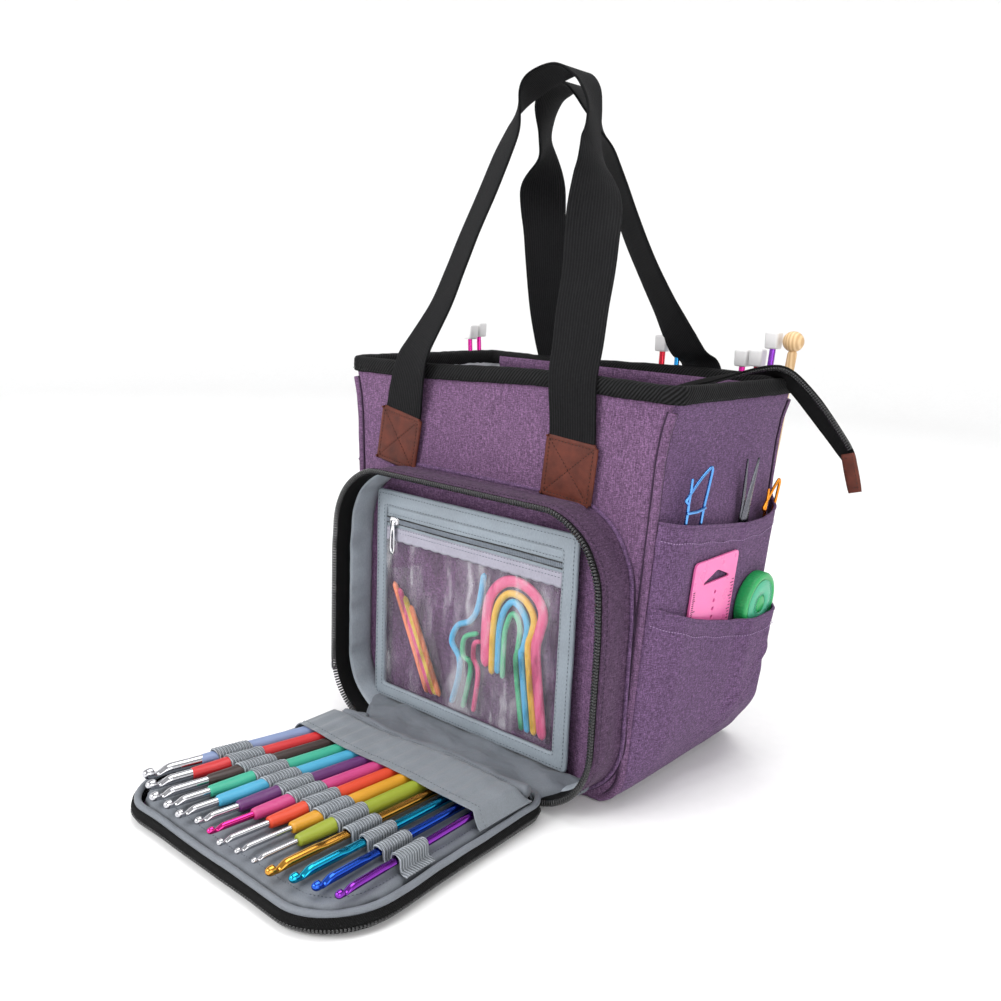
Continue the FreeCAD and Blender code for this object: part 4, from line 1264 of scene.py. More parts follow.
def make_flap():
    """The flap's outer cloth, its half of the zip, its pad and the piping round it."""
    verts, faces = flap_slab(5.0, lambda x, y, edge: 3.4, 0.3)
    build("flap_shell_cloth", verts, faces, purple, "flap", ("flap_shell",), "purple_fabric")
    skirt = flap_band([(0.5, 6.5), (0.7, 4.6), (2.0, 3.0), (4.6, 1.2), (8.0, 0.2), (10.6, 0.8),
        (11.8, 2.8), (11.2, 5.6)])
    for i in range(skirt.shape[0]):
        x, y, _ = skirt[i, 4]
        skirt[i, 3:6, 2] += 0.8 * wobble(x, y, 0.0, 32.0, 2.0)
    sheet_piece("flap_zip_skirt", skirt, 0.9, black_tape, "flap", ("flap_zip_tape",), "zip_black")
    line, normal = flap_ring(0.9, 260)
    chain = Heap()
    path = at_height(line, 4.2)
    out = np.stack([normal[:, 0] * 0.6, normal[:, 1] * 0.6, np.full(len(line), 0.8)], axis=1)
    teeth(chain, path, out, 2.1, (0.68, 1.8, 1.0))
    chain.build("flap_zip_teeth", black_teeth, "flap", (), "zip_black")

    make_pad()
    rim, _ = flap_ring(3.4, 260)
    edge = at_height(rim, 12.6)
    for k in range(len(edge)):
        edge[k][2] += 0.6 * wobble(*edge[k], 20.0, 2.0)
    heap = Heap()
    heap.add(*tube(edge, 2.3, 10, first=(0, 0, 1)))
    heap.build("flap_pad_piping", grey_pad_shaded, "flap", (), "grey_lining")


PAD_NEAR = -124.5
SEAM_INSET = 12.5
PAD_FACE = 11.0          # what is higher than this is the pad's upper face
CLOTH_STEPS = 20


def make_pad():
    """The padded grey lining of the flap: a slightly smaller slab, blown up by cloth simulation."""
    verts, faces = flap_slab(5.0, lambda x, y, edge: 13.2 + 1.6 * min(1, edge / 8), 5.2, near=PAD_NEAR)
    pad = build("flap_lining_pad", verts, faces, grey_pad_shaded, None, ("flap_lining",), "grey_lining")
    inflate(pad, 5.0, 2.0)
    seat = np.array([v.co for v in pad.data.vertices]) / MM
    outline, _ = flap_ring(3.0, 400, near=PAD_NEAR)
    gap = edge_gap(seat, outline[::2])
    for k, (x, y, z) in enumerate(seat):
        if z > PAD_FACE:
            z += 0.7 * wobble(x, y, 0.0, 26.0, 5.0) + 0.35 * wobble(x, y, 3.0, 9.0, 1.0)
            edge_roll = 0.9 * math.exp(-((gap[k] - 6.0) / 3.5) ** 2)
            groove = 1.3 * math.exp(-((gap[k] - SEAM_INSET) / 1.8) ** 2)
            z += edge_roll - groove
            z = min(z, 16.9)
        seat[k][2] = max(4.3, z)
    pad.data.vertices.foreach_set("co", (seat * MM).ravel())
    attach(pad, "flap")
    line, _ = flap_ring(3.0 + SEAM_INSET, 260, near=-140.0)
    heap = Heap()
    path = at_height(line, 16.6)
    tops = seat[seat[:, 2] > PAD_FACE]
    for k, (x, y, z) in enumerate(path):
        near = np.argmin(np.hypot(tops[:, 0] - x, tops[:, 1] - y))
        path[k][2] = tops[near][2] + 0.25
    stitches(heap, path, (0, 0, 1), 2.4, 1.7, 0.26, 0.3)
    heap.build("flap_pad_stitches", grey_thread, "flap", (), "grey_lining")


def inflate(piece, voxel, cap):
    """Blow a closed piece up with cloth pressure; no point moves further than cap."""
    remesh = piece.modifiers.new("remesh", "REMESH")
    remesh.mode = "VOXEL"
    remesh.voxel_size = voxel * MM
    apply_modifiers(piece)
    start = np.array([v.co for v in piece.data.vertices])
    cloth = piece.modifiers.new("cloth", "CLOTH")
    cloth.settings.quality = 6
    cloth.settings.mass = 0.3
    cloth.settings.tension_stiffness = 15
    cloth.settings.compression_stiffness = 15
    cloth.settings.bending_stiffness = 0.5
    cloth.settings.use_pressure = True
    cloth.settings.uniform_pressure_force = 4.0
    cloth.settings.effector_weights.gravity = 0.0
    cloth.collision_settings.use_collision = False
    scene = bpy.context.scene
    for frame_number in range(1, CLOTH_STEPS + 1):
        scene.frame_set(frame_number)
    done = piece.evaluated_get(bpy.context.evaluated_depsgraph_get())
    moved = np.array([v.co for v in done.data.vertices]) - start
    length = np.linalg.norm(moved, axis=1)
    share = np.minimum(1.0, cap * MM / np.maximum(length, 1e-9))
    piece.modifiers.remove(cloth)
    scene.frame_set(1)
    piece.data.vertices.foreach_set("co", (start + moved * share[:, None]).ravel())
    smooth = piece.modifiers.new("smooth", "SUBSURF")
    smooth.levels = 1
    smooth.render_levels = 1
    apply_modifiers(piece)
    piece.data.polygons.foreach_set("use_smooth", [True] * len(piece.data.polygons))


def apply_modifiers(piece):
    done = piece.evaluated_get(bpy.context.evaluated_depsgraph_get())
    mesh = bpy.data.meshes.new_from_object(done)
    piece.modifiers.clear()
    old = piece.data
    piece.data = mesh
    bpy.data.meshes.remove(old)


# ================= crochet hooks, their pocket and loops =================
HOOK_COUNT = 14
# soft grips: steel blue, red, near black, teal green, sky blue, purple, pink, orange red, amber, lime
GRIPS = (
    (0.19, 0.25, 0.42), (0.52, 0.016, 0.02), (0.030, 0.014, 0.012), (0.03, 0.34, 0.22), (0.05, 0.32, 0.50),
    (0.10, 0.018, 0.12), (0.48, 0.04, 0.18), (0.60, 0.05, 0.014), (0.58, 0.27, 0.012), (0.26, 0.31, 0.02),
)
# anodised hooks: gold, cyan blue, royal blue, purple
ANODISED = ((0.62, 0.30, 0.05), (0.02, 0.40, 0.62), (0.03, 0.11, 0.62), (0.24, 0.04, 0.42))
GRIP_FRONT = (-262, -276, -274, -281, -284, -279, -278, -277, -271, -277)
SHAFT_R = (4.0, 3.6, 3.3, 3.0, 2.8, 2.6, 2.4, 2.2, 2.0, 1.8, 3.0, 3.0, 2.8, 2.5)
HOOK_TIP_X = (-101.0, 89.0)
HOOK_BACK_X = (-69.5, 84.5)
HOOK_LIE = 21.6          # height of the hooks' middles
FLAT_REST = 52.0         # from a plain hook's tip to the middle of its thumb rest


def hook_ends(i):
    """The middle of a hook's back end and its tip."""
    low, high = cad(f"hook_{i + 1:02d}")
    share = i / (HOOK_COUNT - 1)
    tip_x = HOOK_TIP_X[0] + (HOOK_TIP_X[1] - HOOK_TIP_X[0]) * share
    back_x = HOOK_BACK_X[0] + (HOOK_BACK_X[1] - HOOK_BACK_X[0]) * share
    return np.array((back_x, high[1], HOOK_LIE)), np.array((tip_x, low[1], HOOK_LIE))


def hook_at(i, y):
    """A hook's middle x at a y, and its lean."""
    back, tip = hook_ends(i)
    lean = (tip[0] - back[0]) / (tip[1] - back[1])
    return back[0] + (y - back[1]) * lean, lean


def lathe(heap, start, end, stations, around=26):
    """A bar from start to end through stations (distance, half width, half height, drop)."""
    along = (end - start) / np.linalg.norm(end - start)
    across = np.array((along[1], -along[0], 0.0))
    s = np.array([k[0] for k in stations], float)
    fine = np.unique(np.concatenate([np.linspace(s[0], s[-1], 90),
        np.linspace(s[0], min(s[-1], 9 * stations[5][1] + 4), 60), s[:3], s[-3:]]))
    shape = np.stack([np.interp(fine, s, [k[c] for k in stations]) for c in (1, 2, 3)], axis=1)
    a = np.linspace(0, 2 * math.pi, around, endpoint=False)
    rows = []
    for place, (wide, high, drop) in zip(fine, shape):
        centre = start + along * place - np.array((0, 0, drop))
        rows.append([centre + across * wide * math.cos(k) + np.array((0, 0, high * math.sin(k))) for k in a])
    heap.add(*ring_skin(rows))


# a hook's head: (distance from the tip, half width, half height, drop), all in shaft radii
HEAD = (
    (0.0, 0.18, 0.16, -0.05), (0.06, 0.38, 0.34, -0.05), (0.2, 0.62, 0.58, -0.04),
    (0.45, 0.82, 0.80, -0.02), (0.8, 0.95, 0.94, 0.0), (1.2, 1.0, 1.0, 0.0),
    (1.6, 1.0, 1.0, 0.0), (1.85, 0.99, 0.95, 0.05), (2.0, 0.97, 0.82, 0.18), (2.12, 0.94, 0.64, 0.36),
    (2.25, 0.91, 0.54, 0.45), (2.45, 0.88, 0.5, 0.49),
    (2.75, 0.86, 0.5, 0.48), (3.05, 0.87, 0.56, 0.41), (3.4, 0.9, 0.67, 0.3), (3.8, 0.94, 0.8, 0.18),
    (4.3, 0.98, 0.92, 0.07), (5.0, 1.0, 1.0, 0.0),
)


def hook_shaft(heap, tip, end, r, rest=None):
    """A round shaft with a hook at its tip; rest is how far back its flat thumb rest is."""
    length = np.linalg.norm(end - tip)
    stations = [(s * r, w * r, h * r, d * r) for s, w, h, d in HEAD]
    if rest is not None:
        stations += [(rest - 17, r, r, 0), (rest - 12, r * 1.08, r * 0.76, 0),
            (rest + 12, r * 1.08, r * 0.76, 0), (rest + 17, r, r, 0)]
    stations += [(length - 1, r, r, 0), (length - 0.3, r * 0.8, r * 0.8, 0), (length, r * 0.5, r * 0.5, 0)]
    lathe(heap, tip, end, stations)


def hook_grip(heap, front, back):
    """A soft grip: round at the back, flattened under the thumb, blunt where the shaft leaves it."""
    length = np.linalg.norm(back - front)
    shape = (
        (0.0, 2.6, 2.4), (0.25, 3.3, 3.0), (0.9, 3.9, 3.5), (2.5, 4.25, 3.7), (8.0, 4.75, 3.85),
        (16.0, 5.3, 4.05), (24.0, 5.35, 4.5), (34.0, 5.0, 4.85),
        (60.0, 5.1, 5.0), (length - 8, 5.1, 5.0), (length - 2.5, 4.8, 4.7), (length - 0.8, 3.9, 3.8),
        (length - 0.2, 2.8, 2.7), (length, 1.6, 1.6),
    )
    lathe(heap, front, back, [(s, w, h, 0.0) for s, w, h in shape])


def make_hooks():
    """Ten hooks with soft grips, then four plain anodised ones."""
    steel = metal("hook_steel", (0.56, 0.56, 0.59), 0.13)
    pink_metal = metal("hook_pink", (0.72, 0.04, 0.26), 0.14)
    for i in range(HOOK_COUNT):
        node = f"hook_{i + 1:02d}"
        back, tip = hook_ends(i)
        r = SHAFT_R[i]
        along = (back - tip) / np.linalg.norm(back - tip)
        heap = Heap()
        if i < len(GRIPS):
            front = tip + along * (GRIP_FRONT[i] - tip[1]) / along[1]
            hook_shaft(heap, tip, front + along * 6.0, r * 0.92)
            heap.build(node + "_shaft", pink_metal if i == 6 else steel, node, (), "silver_metal")
            heap = Heap()
            hook_grip(heap, front, back)
            heap.build(node + "_grip", plastic(node + "_rubber", GRIPS[i], 0.42, 0.2, 0.05), node, (node,),
                node)
        else:
            hook_shaft(heap, tip, back, r, rest=FLAT_REST)
            heap.build(node + "_shaft", metal(node + "_anodised", ANODISED[i - len(GRIPS)], 0.16), node,
                (node,), node)


def make_loops():
    """Ribbed elastic, stitched down between the hooks."""
    low, high = cad("elastic_loops")
    middle = (low[1] + high[1]) / 2 - 1.5
    centres = [hook_at(i, middle) for i in range(HOOK_COUNT)]
    rows = []
    for i, (x, _) in enumerate(centres):
        top = HOOK_LIE + (5.1 if i < len(GRIPS) else 3.7)
        wide = 6.0 if i < len(GRIPS) else 4.6
        rows.append((x - 6.9, PAD_TOP + 0.9))
        rows.append((x - wide - 0.1, PAD_TOP + 1.6))
        for a in np.linspace(158, 22, 12):
            rows.append((x + wide * math.cos(math.radians(a)),
                HOOK_LIE + (top - HOOK_LIE) * math.sin(math.radians(a)) + 0.5))
        rows.append((x + wide + 0.1, PAD_TOP + 1.6))
    rows.append((rows[-1][0] + 1.3, PAD_TOP + 0.9))
    rows.append((rows[-1][0] + 5.0, PAD_TOP + 0.8))
    line = smooth_path(rows, 330)
    half = 12.0
    ys = np.linspace(-half, half, 85)
    n = outward_open(line)
    grid = []
    for k, (x, z) in enumerate(line):
        lean = float(np.interp(x, [c[0] for c in centres], [c[1] for c in centres]))
        bend = 0.9 * math.sin(x / 13.4 * math.pi + 0.4)
        column = []
        for y in ys:
            rib = 0.34 * math.sin(y * 2 * math.pi / 2.3)
            edge = -0.35 if half - abs(y) < 0.6 else 0.0
            column.append((x + n[k][0] * (rib + edge) + lean * y, middle + y + bend,
                z + n[k][1] * (rib + edge)))
        grid.append(column)
    sheet_piece("elastic_loops_band", np.array(grid), 0.5, elastic_grey, "flap", ("elastic_loops",),
        "elastic_grey")


def outward_open(line):
    """Unit normals of an open line of (a, b) points."""
    t = np.gradient(line, axis=0)
    t /= np.linalg.norm(t, axis=1)[:, None]
    return np.stack([-t[:, 1], t[:, 0]], axis=1)


def ridge_y(x):
    """The seam behind the hook pocket runs askew to the hinge."""
    return -139.5 + 0.055 * x + 1.8 * math.sin(x / 19.0)


def make_hook_pocket():
    """The satin sleeve over the hooks' back ends, gently scalloped along its open edge."""
    low = cad("hook_pocket")[0]
    x0, x1 = -92.0, 96.0
    grid = []
    for x in np.linspace(x0, x1, 200):
        phase = (x - hook_at(0, low[1])[0]) / 12.1 * 2 * math.pi
        crest = 0.5 + 0.5 * math.cos(phase)
        inside = min(1.0, max(0.0, min(x - x0, x1 - x)) / 9.0)
        inside = inside * inside * (3 - 2 * inside)
        front = low[1] - 1.0 + 1.9 * (1 - crest) * inside + 2.4 * wobble(x, 0, 0, 60.0, 3.0)
        back = ridge_y(x) - 0.5
        column = []
        for t in np.linspace(0, 1, 46):
            y = front + (back - front) * t
            slope = min(1.0, max(0.0, (back - y) / 11.0))
            lift = 11.4 * math.sin(math.pi / 2 * slope) ** 0.9
            bump = (crest - 1) * 1.5 * (1 - 0.75 * t)
            z = PAD_TOP + 0.9 + (lift + bump * slope) * inside
            z += 0.5 * wobble(x, y, 0.0, 24.0, 7.0) * inside
            column.append((x, y, z))
        grid.append(column)
    p = np.array(grid)
    piece = sheet_piece("hook_pocket_cloth", p, 0.7, pale_grey_shaded, "flap", ("hook_pocket",), "grey_lining")
    heap = Heap()
    heap.add(*tube(p[:, 0] + np.array([0, 0.3, -0.25]), 0.6, 8, first=(0, 0, 1)))
    heap.build("hook_pocket_hem", pale_grey_shaded, "flap", (), "grey_lining")
    thread = Heap()
    stitches(thread, p[:, 5] + np.array([0, 0, 0.2]), (0, 0, 1), 2.4, 1.7, 0.24, 0.28)
    thread.build("hook_pocket_stitches", grey_thread, "flap", (), "grey_lining")
    ridge = np.array([(x, ridge_y(x) + 2.6 + 1.2 * wobble(x, 7, 0, 17.0, 2.0),
        20.0 + 1.3 * wobble(x, 0, 0, 14.0, 5.0)) for x in np.linspace(-86, 90, 150)])
    radius = [3.9 + 1.0 * wobble(x, 0, 4.0, 12.0, 9.0) for x in ridge[:, 0]]
    heap = Heap()
    heap.add(*tube(ridge, radius, 12, first=(0, 0, 1)))
    heap.build("hinge_seam_roll", grey_pad_shaded, "flap", (), "grey_lining")
    thread = Heap()
    stitches(thread, ridge + np.array([0, -2.4, 3.0]), (0, -0.5, 0.85), 2.4, 1.7, 0.26, 0.3)
    thread.build("hinge_seam_stitches", grey_thread, "flap", (), "grey_lining")


# ================= handles and their patches =================
# each leg: place of the patch's centre across the bag, lean of the patch in degrees
FRONT_LEGS = ((-91.5, 9.0), (70.5, 5.0))
BACK_LEGS = ((-70.0, 5.0), (74.0, 4.0))
PATCH_SIZE = 43.0
PATCH_HEIGHT = 227.0
SEAM_SHARE = 0.84        # how far out a patch's stitched square lies
WEB_WIDTH, WEB_THICKNESS = 37.5, 1.9


def web_line(stations, count=150):
    """A smooth line and width directions from stations (x, y, z, turn in degrees)."""
    rows = smooth_path([(s[0], s[1], s[2]) for s in stations], count)
    marks = np.array([s[:3] for s in stations], float)
    turns = np.unwrap(np.radians([s[3] for s in stations]))
    along = distances(marks)
    place = distances(rows)
    share = place / place[-1] * along[-1]
    angle = np.interp(share, along, turns)
    kernel = np.hanning(13) / np.hanning(13).sum()
    angle = np.convolve(np.pad(angle, 6, mode="edge"), kernel, mode="valid")
    sides = np.stack([np.cos(angle), -np.sin(angle), np.zeros(len(angle))], axis=1)
    return rows, sides


def webbing_piece(name, stations, width, thickness, material, body, replaces=(), slot="black_webbing",
        count=150):
    rows, sides = web_line(stations, count)
    profile = band_profile(width, thickness)
    verts, faces, uv = sweep(rows, sides, profile)
    uv[:, 1] = np.tile(profile[:, 0] - profile[:, 0].min(), len(rows))
    return build(name, verts, faces, material, body, replaces, slot, uv)


def make_handles():
    """Both webbing handles, bending just above their patches."""
    # (x, y, z, turn): the legs leave their patches flat, twist, and lie over a narrow top
    front = (
        (-89.0, -84.4, 236, 0), (-85.0, -84.8, 250, 2), (-81.0, -86.6, 265, 5), (-76.5, -87.6, 281, 9),
        (-70.5, -86.4, 297, 15),
        (-58.5, -76, 328, 23), (-51.5, -69, 354, 26), (-44.5, -62, 381, 27), (-39.0, -52, 408, 27),
        (-34.5, -42, 435, 28),
        (-32.6, -36, 450, 31), (-31.5, -32, 463, 42), (-28.5, -28, 475, 62), (-21.5, -24, 485, 84),
        (-11, -19.5, 491.5, 90),
        (0, -17, 494.5, 90), (9.5, -15.5, 492.5, 90), (17, -14.5, 485.5, 82), (23, -16, 474, 72),
        (28.5, -19.5, 460, 65),
        (34.5, -26, 442, 70), (39.5, -31, 432, 78), (45.5, -36, 420, 96), (51.0, -43, 407, 120),
        (58.0, -54.5, 381, 158),
        (63.5, -64, 356, 166), (67.5, -74, 332, 169), (71.3, -82, 309, 173), (72.6, -86.9, 292, 176),
        (73.0, -87.3, 279, 178),
        (73.6, -86.4, 265, 180), (73.4, -84.8, 250, 180), (72.4, -84.4, 236, 180),
    )
    back = (
        (-70, 88.4, 236, 0), (-70.5, 88.8, 250, 0), (-72.0, 90.5, 265, 0), (-75.5, 91.3, 281, -3),
        (-79.0, 88.0, 300, -8),
        (-80.0, 80.5, 326, -9), (-77.5, 70.5, 358, -10), (-73.4, 60.5, 389, -14), (-68.8, 50.5, 418, -40),
        (-64.5, 44.5, 435, -85),
        (-59.5, 39.0, 449, -120), (-54.5, 33, 463, -116), (-50.0, 28.5, 475, -108), (-44.5, 25, 484, -98),
        (-36.5, 23, 490.5, -90),
        (-27, 22, 493, -90), (-17, 22, 490.5, -90), (-10.5, 23.5, 484, -94), (-6.5, 28, 475, -104),
        (-4.5, 34, 466, -116),
        (-2.0, 42, 450, -136), (3.5, 51, 424, -145), (12.0, 62, 391, -150), (24.0, 70.5, 361, -150),
        (38.5, 76.5, 333, -153),
        (51.5, 80.5, 310, -162), (58.5, 83.5, 300, -167), (64.5, 90.3, 291, -170), (68.5, 91.3, 279, -174),
        (72.0, 90.5, 265, -178), (73.5, 88.8, 250, -180),
        (74, 88.4, 236, -180),
    )
    for name, stations, y in (("front_handle", front, FRONT_Y), ("back_handle", back, BACK_Y)):
        piece = webbing_piece(name + "_web", stations, WEB_WIDTH, WEB_THICKNESS, black_web, None, (name,),
            count=260)
        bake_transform(piece)


def make_patches():
    """Leather squares, sewn through the ends of the webbing."""
    web_ends = Heap()
    leather_heap = Heap()
    thread = Heap()
    for legs, face, out in ((FRONT_LEGS, FRONT_Y, -1), (BACK_LEGS, BACK_Y, 1)):
        for x, lean in legs:
            turn = math.radians(lean)
            right = np.array([math.cos(turn), 0, -math.sin(turn)])
            up = np.array([math.sin(turn), 0, math.cos(turn)])
            normal = np.array([0, out, 0.0])
            centre = np.array([x + (2.0 if out < 0 else 0.0), face + out * 2.4, PATCH_HEIGHT])
            half = PATCH_SIZE / 2
            count = 34
            grid = []
            for a in np.linspace(-1, 1, count):
                column = []
                for b in np.linspace(-1, 1, count):
                    ca = math.copysign(abs(a) ** 0.92, a)
                    cb = math.copysign(abs(b) ** 0.92, b)
                    corner = max(0.0, abs(ca) + abs(cb) - 1.88) * 0.9
                    ca -= math.copysign(corner, ca)
                    cb -= math.copysign(corner, cb)
                    edge = 1 - max(abs(ca), abs(cb)) ** 26
                    dent = 0.0
                    reach = max(abs(ca), abs(cb))
                    seam = abs(reach - SEAM_SHARE) * half
                    cross = abs(abs(ca) - abs(cb)) * half / 1.41 if reach < SEAM_SHARE else 9.0
                    for line in (seam, cross):
                        dent = max(dent, math.exp(-(line / 0.7) ** 2))
                    lift = 0.9 + edge - 0.4 * dent
                    lift += 0.25 * wobble(x + ca * half, 3.0, cb * half, 15.0, 3.0)
                    column.append(centre + right * ca * half + up * cb * half + normal * lift)
                grid.append(column)
            p = np.array(grid)
            verts, faces, uv = thick_sheet(p, 1.6, False, out > 0)
            leather_heap.add(verts, faces, uv)
            k = half * SEAM_SHARE
            corners = [(-k, -k), (k, -k), (k, k), (-k, k), (-k, -k)]
            level = 1.75
            seams = list(zip(corners, corners[1:])) + [((-k, -k), (k, k)), ((-k, k), (k, -k))]
            for (a0, b0), (a1, b1) in seams:
                line = [centre + right * (a0 + (a1 - a0) * t) + up * (b0 + (b1 - b0) * t) + normal * level
                    for t in np.linspace(0.02, 0.98, 30)]
                stitches(thread, line, normal, 2.5, 1.8, 0.36, 0.42)
            block(web_ends, centre - up * 1.0 + normal * 0.2, (right, up, normal), (17.6, 17.0, 0.7))
    leather_heap.build("leather_patch_squares", brown, "bag", ("leather_patches",), "brown_leather")
    thread.build("leather_patch_stitches", brown_thread, "bag", (), "brown_leather")
    web_ends.build("webbing_end_layers", black_web, "bag", ("webbing_ends",), "black_webbing")


# ================= sliders, pulls and the zip's tail =================
def slider_shape(heap, centre, along, out, size=(9.0, 7.0, 4.2)):
    """A zip slider: two plates with a waist, a bridge on top; along is its travel."""
    along = np.array(along, float)
    out = np.array(out, float)
    side = np.cross(out, along)
    length, width, height = size
    for level, thick in ((-0.34, 0.16), (0.34, 0.16)):
        rows = []
        for t in np.linspace(-1, 1, 14):
            half = width / 2 * (0.62 + 0.38 * min(1.0, (t + 1.0) * 1.1))
            half *= math.sqrt(max(0.05, 1 - max(0, abs(t) - 0.72) ** 2 * 9))
            ring = []
            for a in np.linspace(0, 2 * math.pi, 16, endpoint=False):
                ring.append(np.array(centre) + along * (t * length / 2) + side * half * math.cos(a)
                    + out * (level * height + thick * height * math.sin(a)))
            rows.append(ring)
        heap.add(*ring_skin(rows))
    block(heap, centre, (along, side, out), (length * 0.16, width * 0.12, height * 0.34))
    arch = [np.array(centre) + along * (length * 0.3 * math.cos(a))
        + out * (height * 0.46 + 1.0 * math.sin(a)) for a in np.linspace(0, math.pi, 12)]
    heap.add(*tube(arch, 0.55, 8, first=side))


def pull_shape(heap, root, along, out, length, width, thickness):
    """A zip pull: an eye at the root and a tapered tab with an oval hole."""
    along = np.array(along, float)
    out = np.array(out, float)
    side = np.cross(out, along)
    root = np.array(root, float)
    count = 64
    a = np.linspace(0, 2 * math.pi, count, endpoint=False)

    def ring(half_length, half_width, middle, power):
        c = np.sign(np.cos(a)) * np.abs(np.cos(a)) ** power
        s = np.sign(np.sin(a)) * np.abs(np.sin(a)) ** power
        return np.array([root + along * (middle + half_length * u)
            + side * half_width * v * (0.82 + 0.18 * u) for u, v in zip(c, s)])

    outer = ring(length / 2, width / 2, length / 2, 0.55)
    inner = ring(length * 0.2, width * 0.24, length * 0.66, 0.8)
    half = thickness / 2
    soft = 0.35 * thickness
    loops = [
        outer + out * (half - soft), outer * 0.985 + (root + along * length / 2) * 0.015 + out * half,
        inner + out * half,
        inner - out * half, outer * 0.985 + (root + along * length / 2) * 0.015 - out * half,
        outer - out * (half - soft),
    ]
    p = np.array(loops)
    heap.add(p.reshape(-1, 3), grid_faces(len(loops), count, True, True))


def make_sliders():
    """The three zip sliders and their pulls."""
    for node, body, along, out in (
        ("top_zip_slider", "top_slider", (1, 0, 0), (0, 0, 1)),
        ("case_zip_slider", "case_slider", (0, 0, 1), (-1, 0, 0)),
        ("window_zip_slider", "window_slider", (-1, 0, 0), (0, -1, 0)),
    ):
        low, high = cad(node)
        heap = Heap()
        size = (9.0, 7.0, 4.0) if body != "window_slider" else (9.0, 7.0, 1.9)
        slider_shape(heap, (low + high) / 2, along, out, size)
        heap.build(node + "_body", silver, body, (node,), "silver_metal")
    for node, body, root, along, out, width in (
        ("top_zip_pull", "top_pull", (1, 0.5, 0.5), (-1, 0, 0), (0, 0, 1), 7.0),
        ("case_zip_pull", "case_pull", (0.5, 0.5, 1), (0, 0, -1), (-1, 0, 0), 7.0),
        ("window_zip_pull", "window_pull", (0.5, 0.5, 1), (0, 0, -1), (0, -1, 0), 6.2),
    ):
        low, high = cad(node)
        start = low + (high - low) * np.array(root)
        length = (high - low)[int(np.argmax(np.abs(along)))]
        heap = Heap()
        pull_shape(heap, start, along, out, length, width, 1.3)
        heap.build(node + "_tab", silver, body, (node,), "silver_metal")


# the tail's middle line (x, y, z) with its width direction
TAIL = (
    ((52, -34, 236), (0.3, 1, 0.2)), ((66, -22, 255), (0.25, 1, 0.1)), ((80, -8, 270), (0.15, 1, 0)),
    ((96, 8, 279), (0.05, 1, 0)),
    ((111, 24, 285), (-0.4, 1, 0)), ((123, 37, 289.5), (-0.6, 0.9, 0)), ((134, 48, 292.4), (-0.7, 0.8, 0)),
    ((143, 56, 293), (-0.6, 0.8, -0.1)),
    ((151, 60.5, 290), (-0.5, 0.8, -0.35)), ((160, 62.5, 282.5), (-0.6, 0.5, -0.6)),
    ((172, 63.5, 271), (-0.7, 0.25, -0.7)),
    ((185, 63.3, 257.5), (-0.75, 0.1, -0.65)), ((195, 62.3, 247), (-0.8, 0, -0.6)),
    ((201, 61, 240.5), (-0.85, 0, -0.5)),
    ((203.6, 60.4, 236), (-0.88, 0, -0.45)),
)


def make_tail():
    """The top zip's free end, hanging over the right side, with its leather tab."""
    path = smooth_path([s[0] for s in TAIL], 90)
    marks = np.linspace(0, 1, len(TAIL))
    at = np.linspace(0, 1, 90)
    sides = np.stack([np.interp(at, marks, [s[1][k] for s in TAIL]) for k in range(3)], axis=1)
    t = tangents(path)
    sides = sides - t * (sides * t).sum(1)[:, None]
    sides /= np.linalg.norm(sides, axis=1)[:, None]
    out = np.cross(sides, t)
    width = np.interp(at, (0, 0.3, 0.5, 0.8, 0.95, 1), (18, 17, 16, 15, 12, 9.5))
    profiles = []
    for w, s in zip(width, at):
        profile = band_profile(w, 1.6)
        crease = math.sin(math.pi * min(1, s * 1.4))
        profile[:, 1] += 2.6 * np.exp(-((profile[:, 0] + w * 0.1) / 5.0) ** 2) * crease - 1.0
        profiles.append(profile)
    verts, faces, uv = sweep(path, sides, np.array(profiles))
    piece = build("top_zip_tail_tape", verts, faces, black_tape, "bag", ("top_zip_tail",), "zip_black", uv)
    chain = Heap()
    for gap in (-0.7, 0.7):
        line = path - sides * (width * 0.36)[:, None] - sides * gap + out * 1.0
        teeth(chain, line[6:-3], (sides * (1 if gap > 0 else -1))[6:-3], 1.8, (0.62, 1.05, 0.75))
    chain.build("top_zip_tail_teeth", black_teeth, "bag", (), "zip_black")

    start = np.array((201.6, 60.4, 242.0))
    end = np.array((209.6, 61.0, 216.0))
    along = (end - start) / np.linalg.norm(end - start)
    side = np.array((-0.9, 0, -0.28))
    side -= along * (side @ along)
    side /= np.linalg.norm(side)
    normal = np.cross(side, along)
    rows = []
    for s in np.linspace(0, 1, 26):
        half = 5.0 * (0.93 + 0.07 * math.sin(math.pi * s))
        thick = 2.3 * min(1.0, 0.62 + 3 * s, 0.35 + 5 * (1 - s))
        ring = []
        for a in np.linspace(0, 2 * math.pi, 28, endpoint=False):
            c, q = math.cos(a), math.sin(a)
            ring.append(start + (end - start) * s + side * half * math.copysign(abs(c) ** 0.55, c)
                + normal * thick * math.copysign(abs(q) ** 0.7, q))
        rows.append(ring)
    build("tail_end_leather", *ring_skin(rows), brown, "bag", ("tail_end_tab",), "brown_leather")
    thread = Heap()
    length = np.linalg.norm(end - start)
    for face in (-1, 1):
        corners = [(-3.3, 3.0), (3.3, 3.0), (3.3, length - 3.5), (-3.3, length - 3.5), (-3.3, 3.0)]
        for (a0, b0), (a1, b1) in zip(corners, corners[1:]):
            line = [start + side * (a0 + (a1 - a0) * k) + along * (b0 + (b1 - b0) * k)
                + normal * face * 2.25 for k in np.linspace(0, 1, 12)]
            stitches(thread, line, normal * face, 2.4, 1.7, 0.3, 0.35)
    thread.build("tail_end_stitches", brown_thread, "bag", (), "brown_leather")


# ================= tools in the outside pockets =================
LEAN = math.atan((HALF_RIM - HALF_BASE) / HEIGHT)


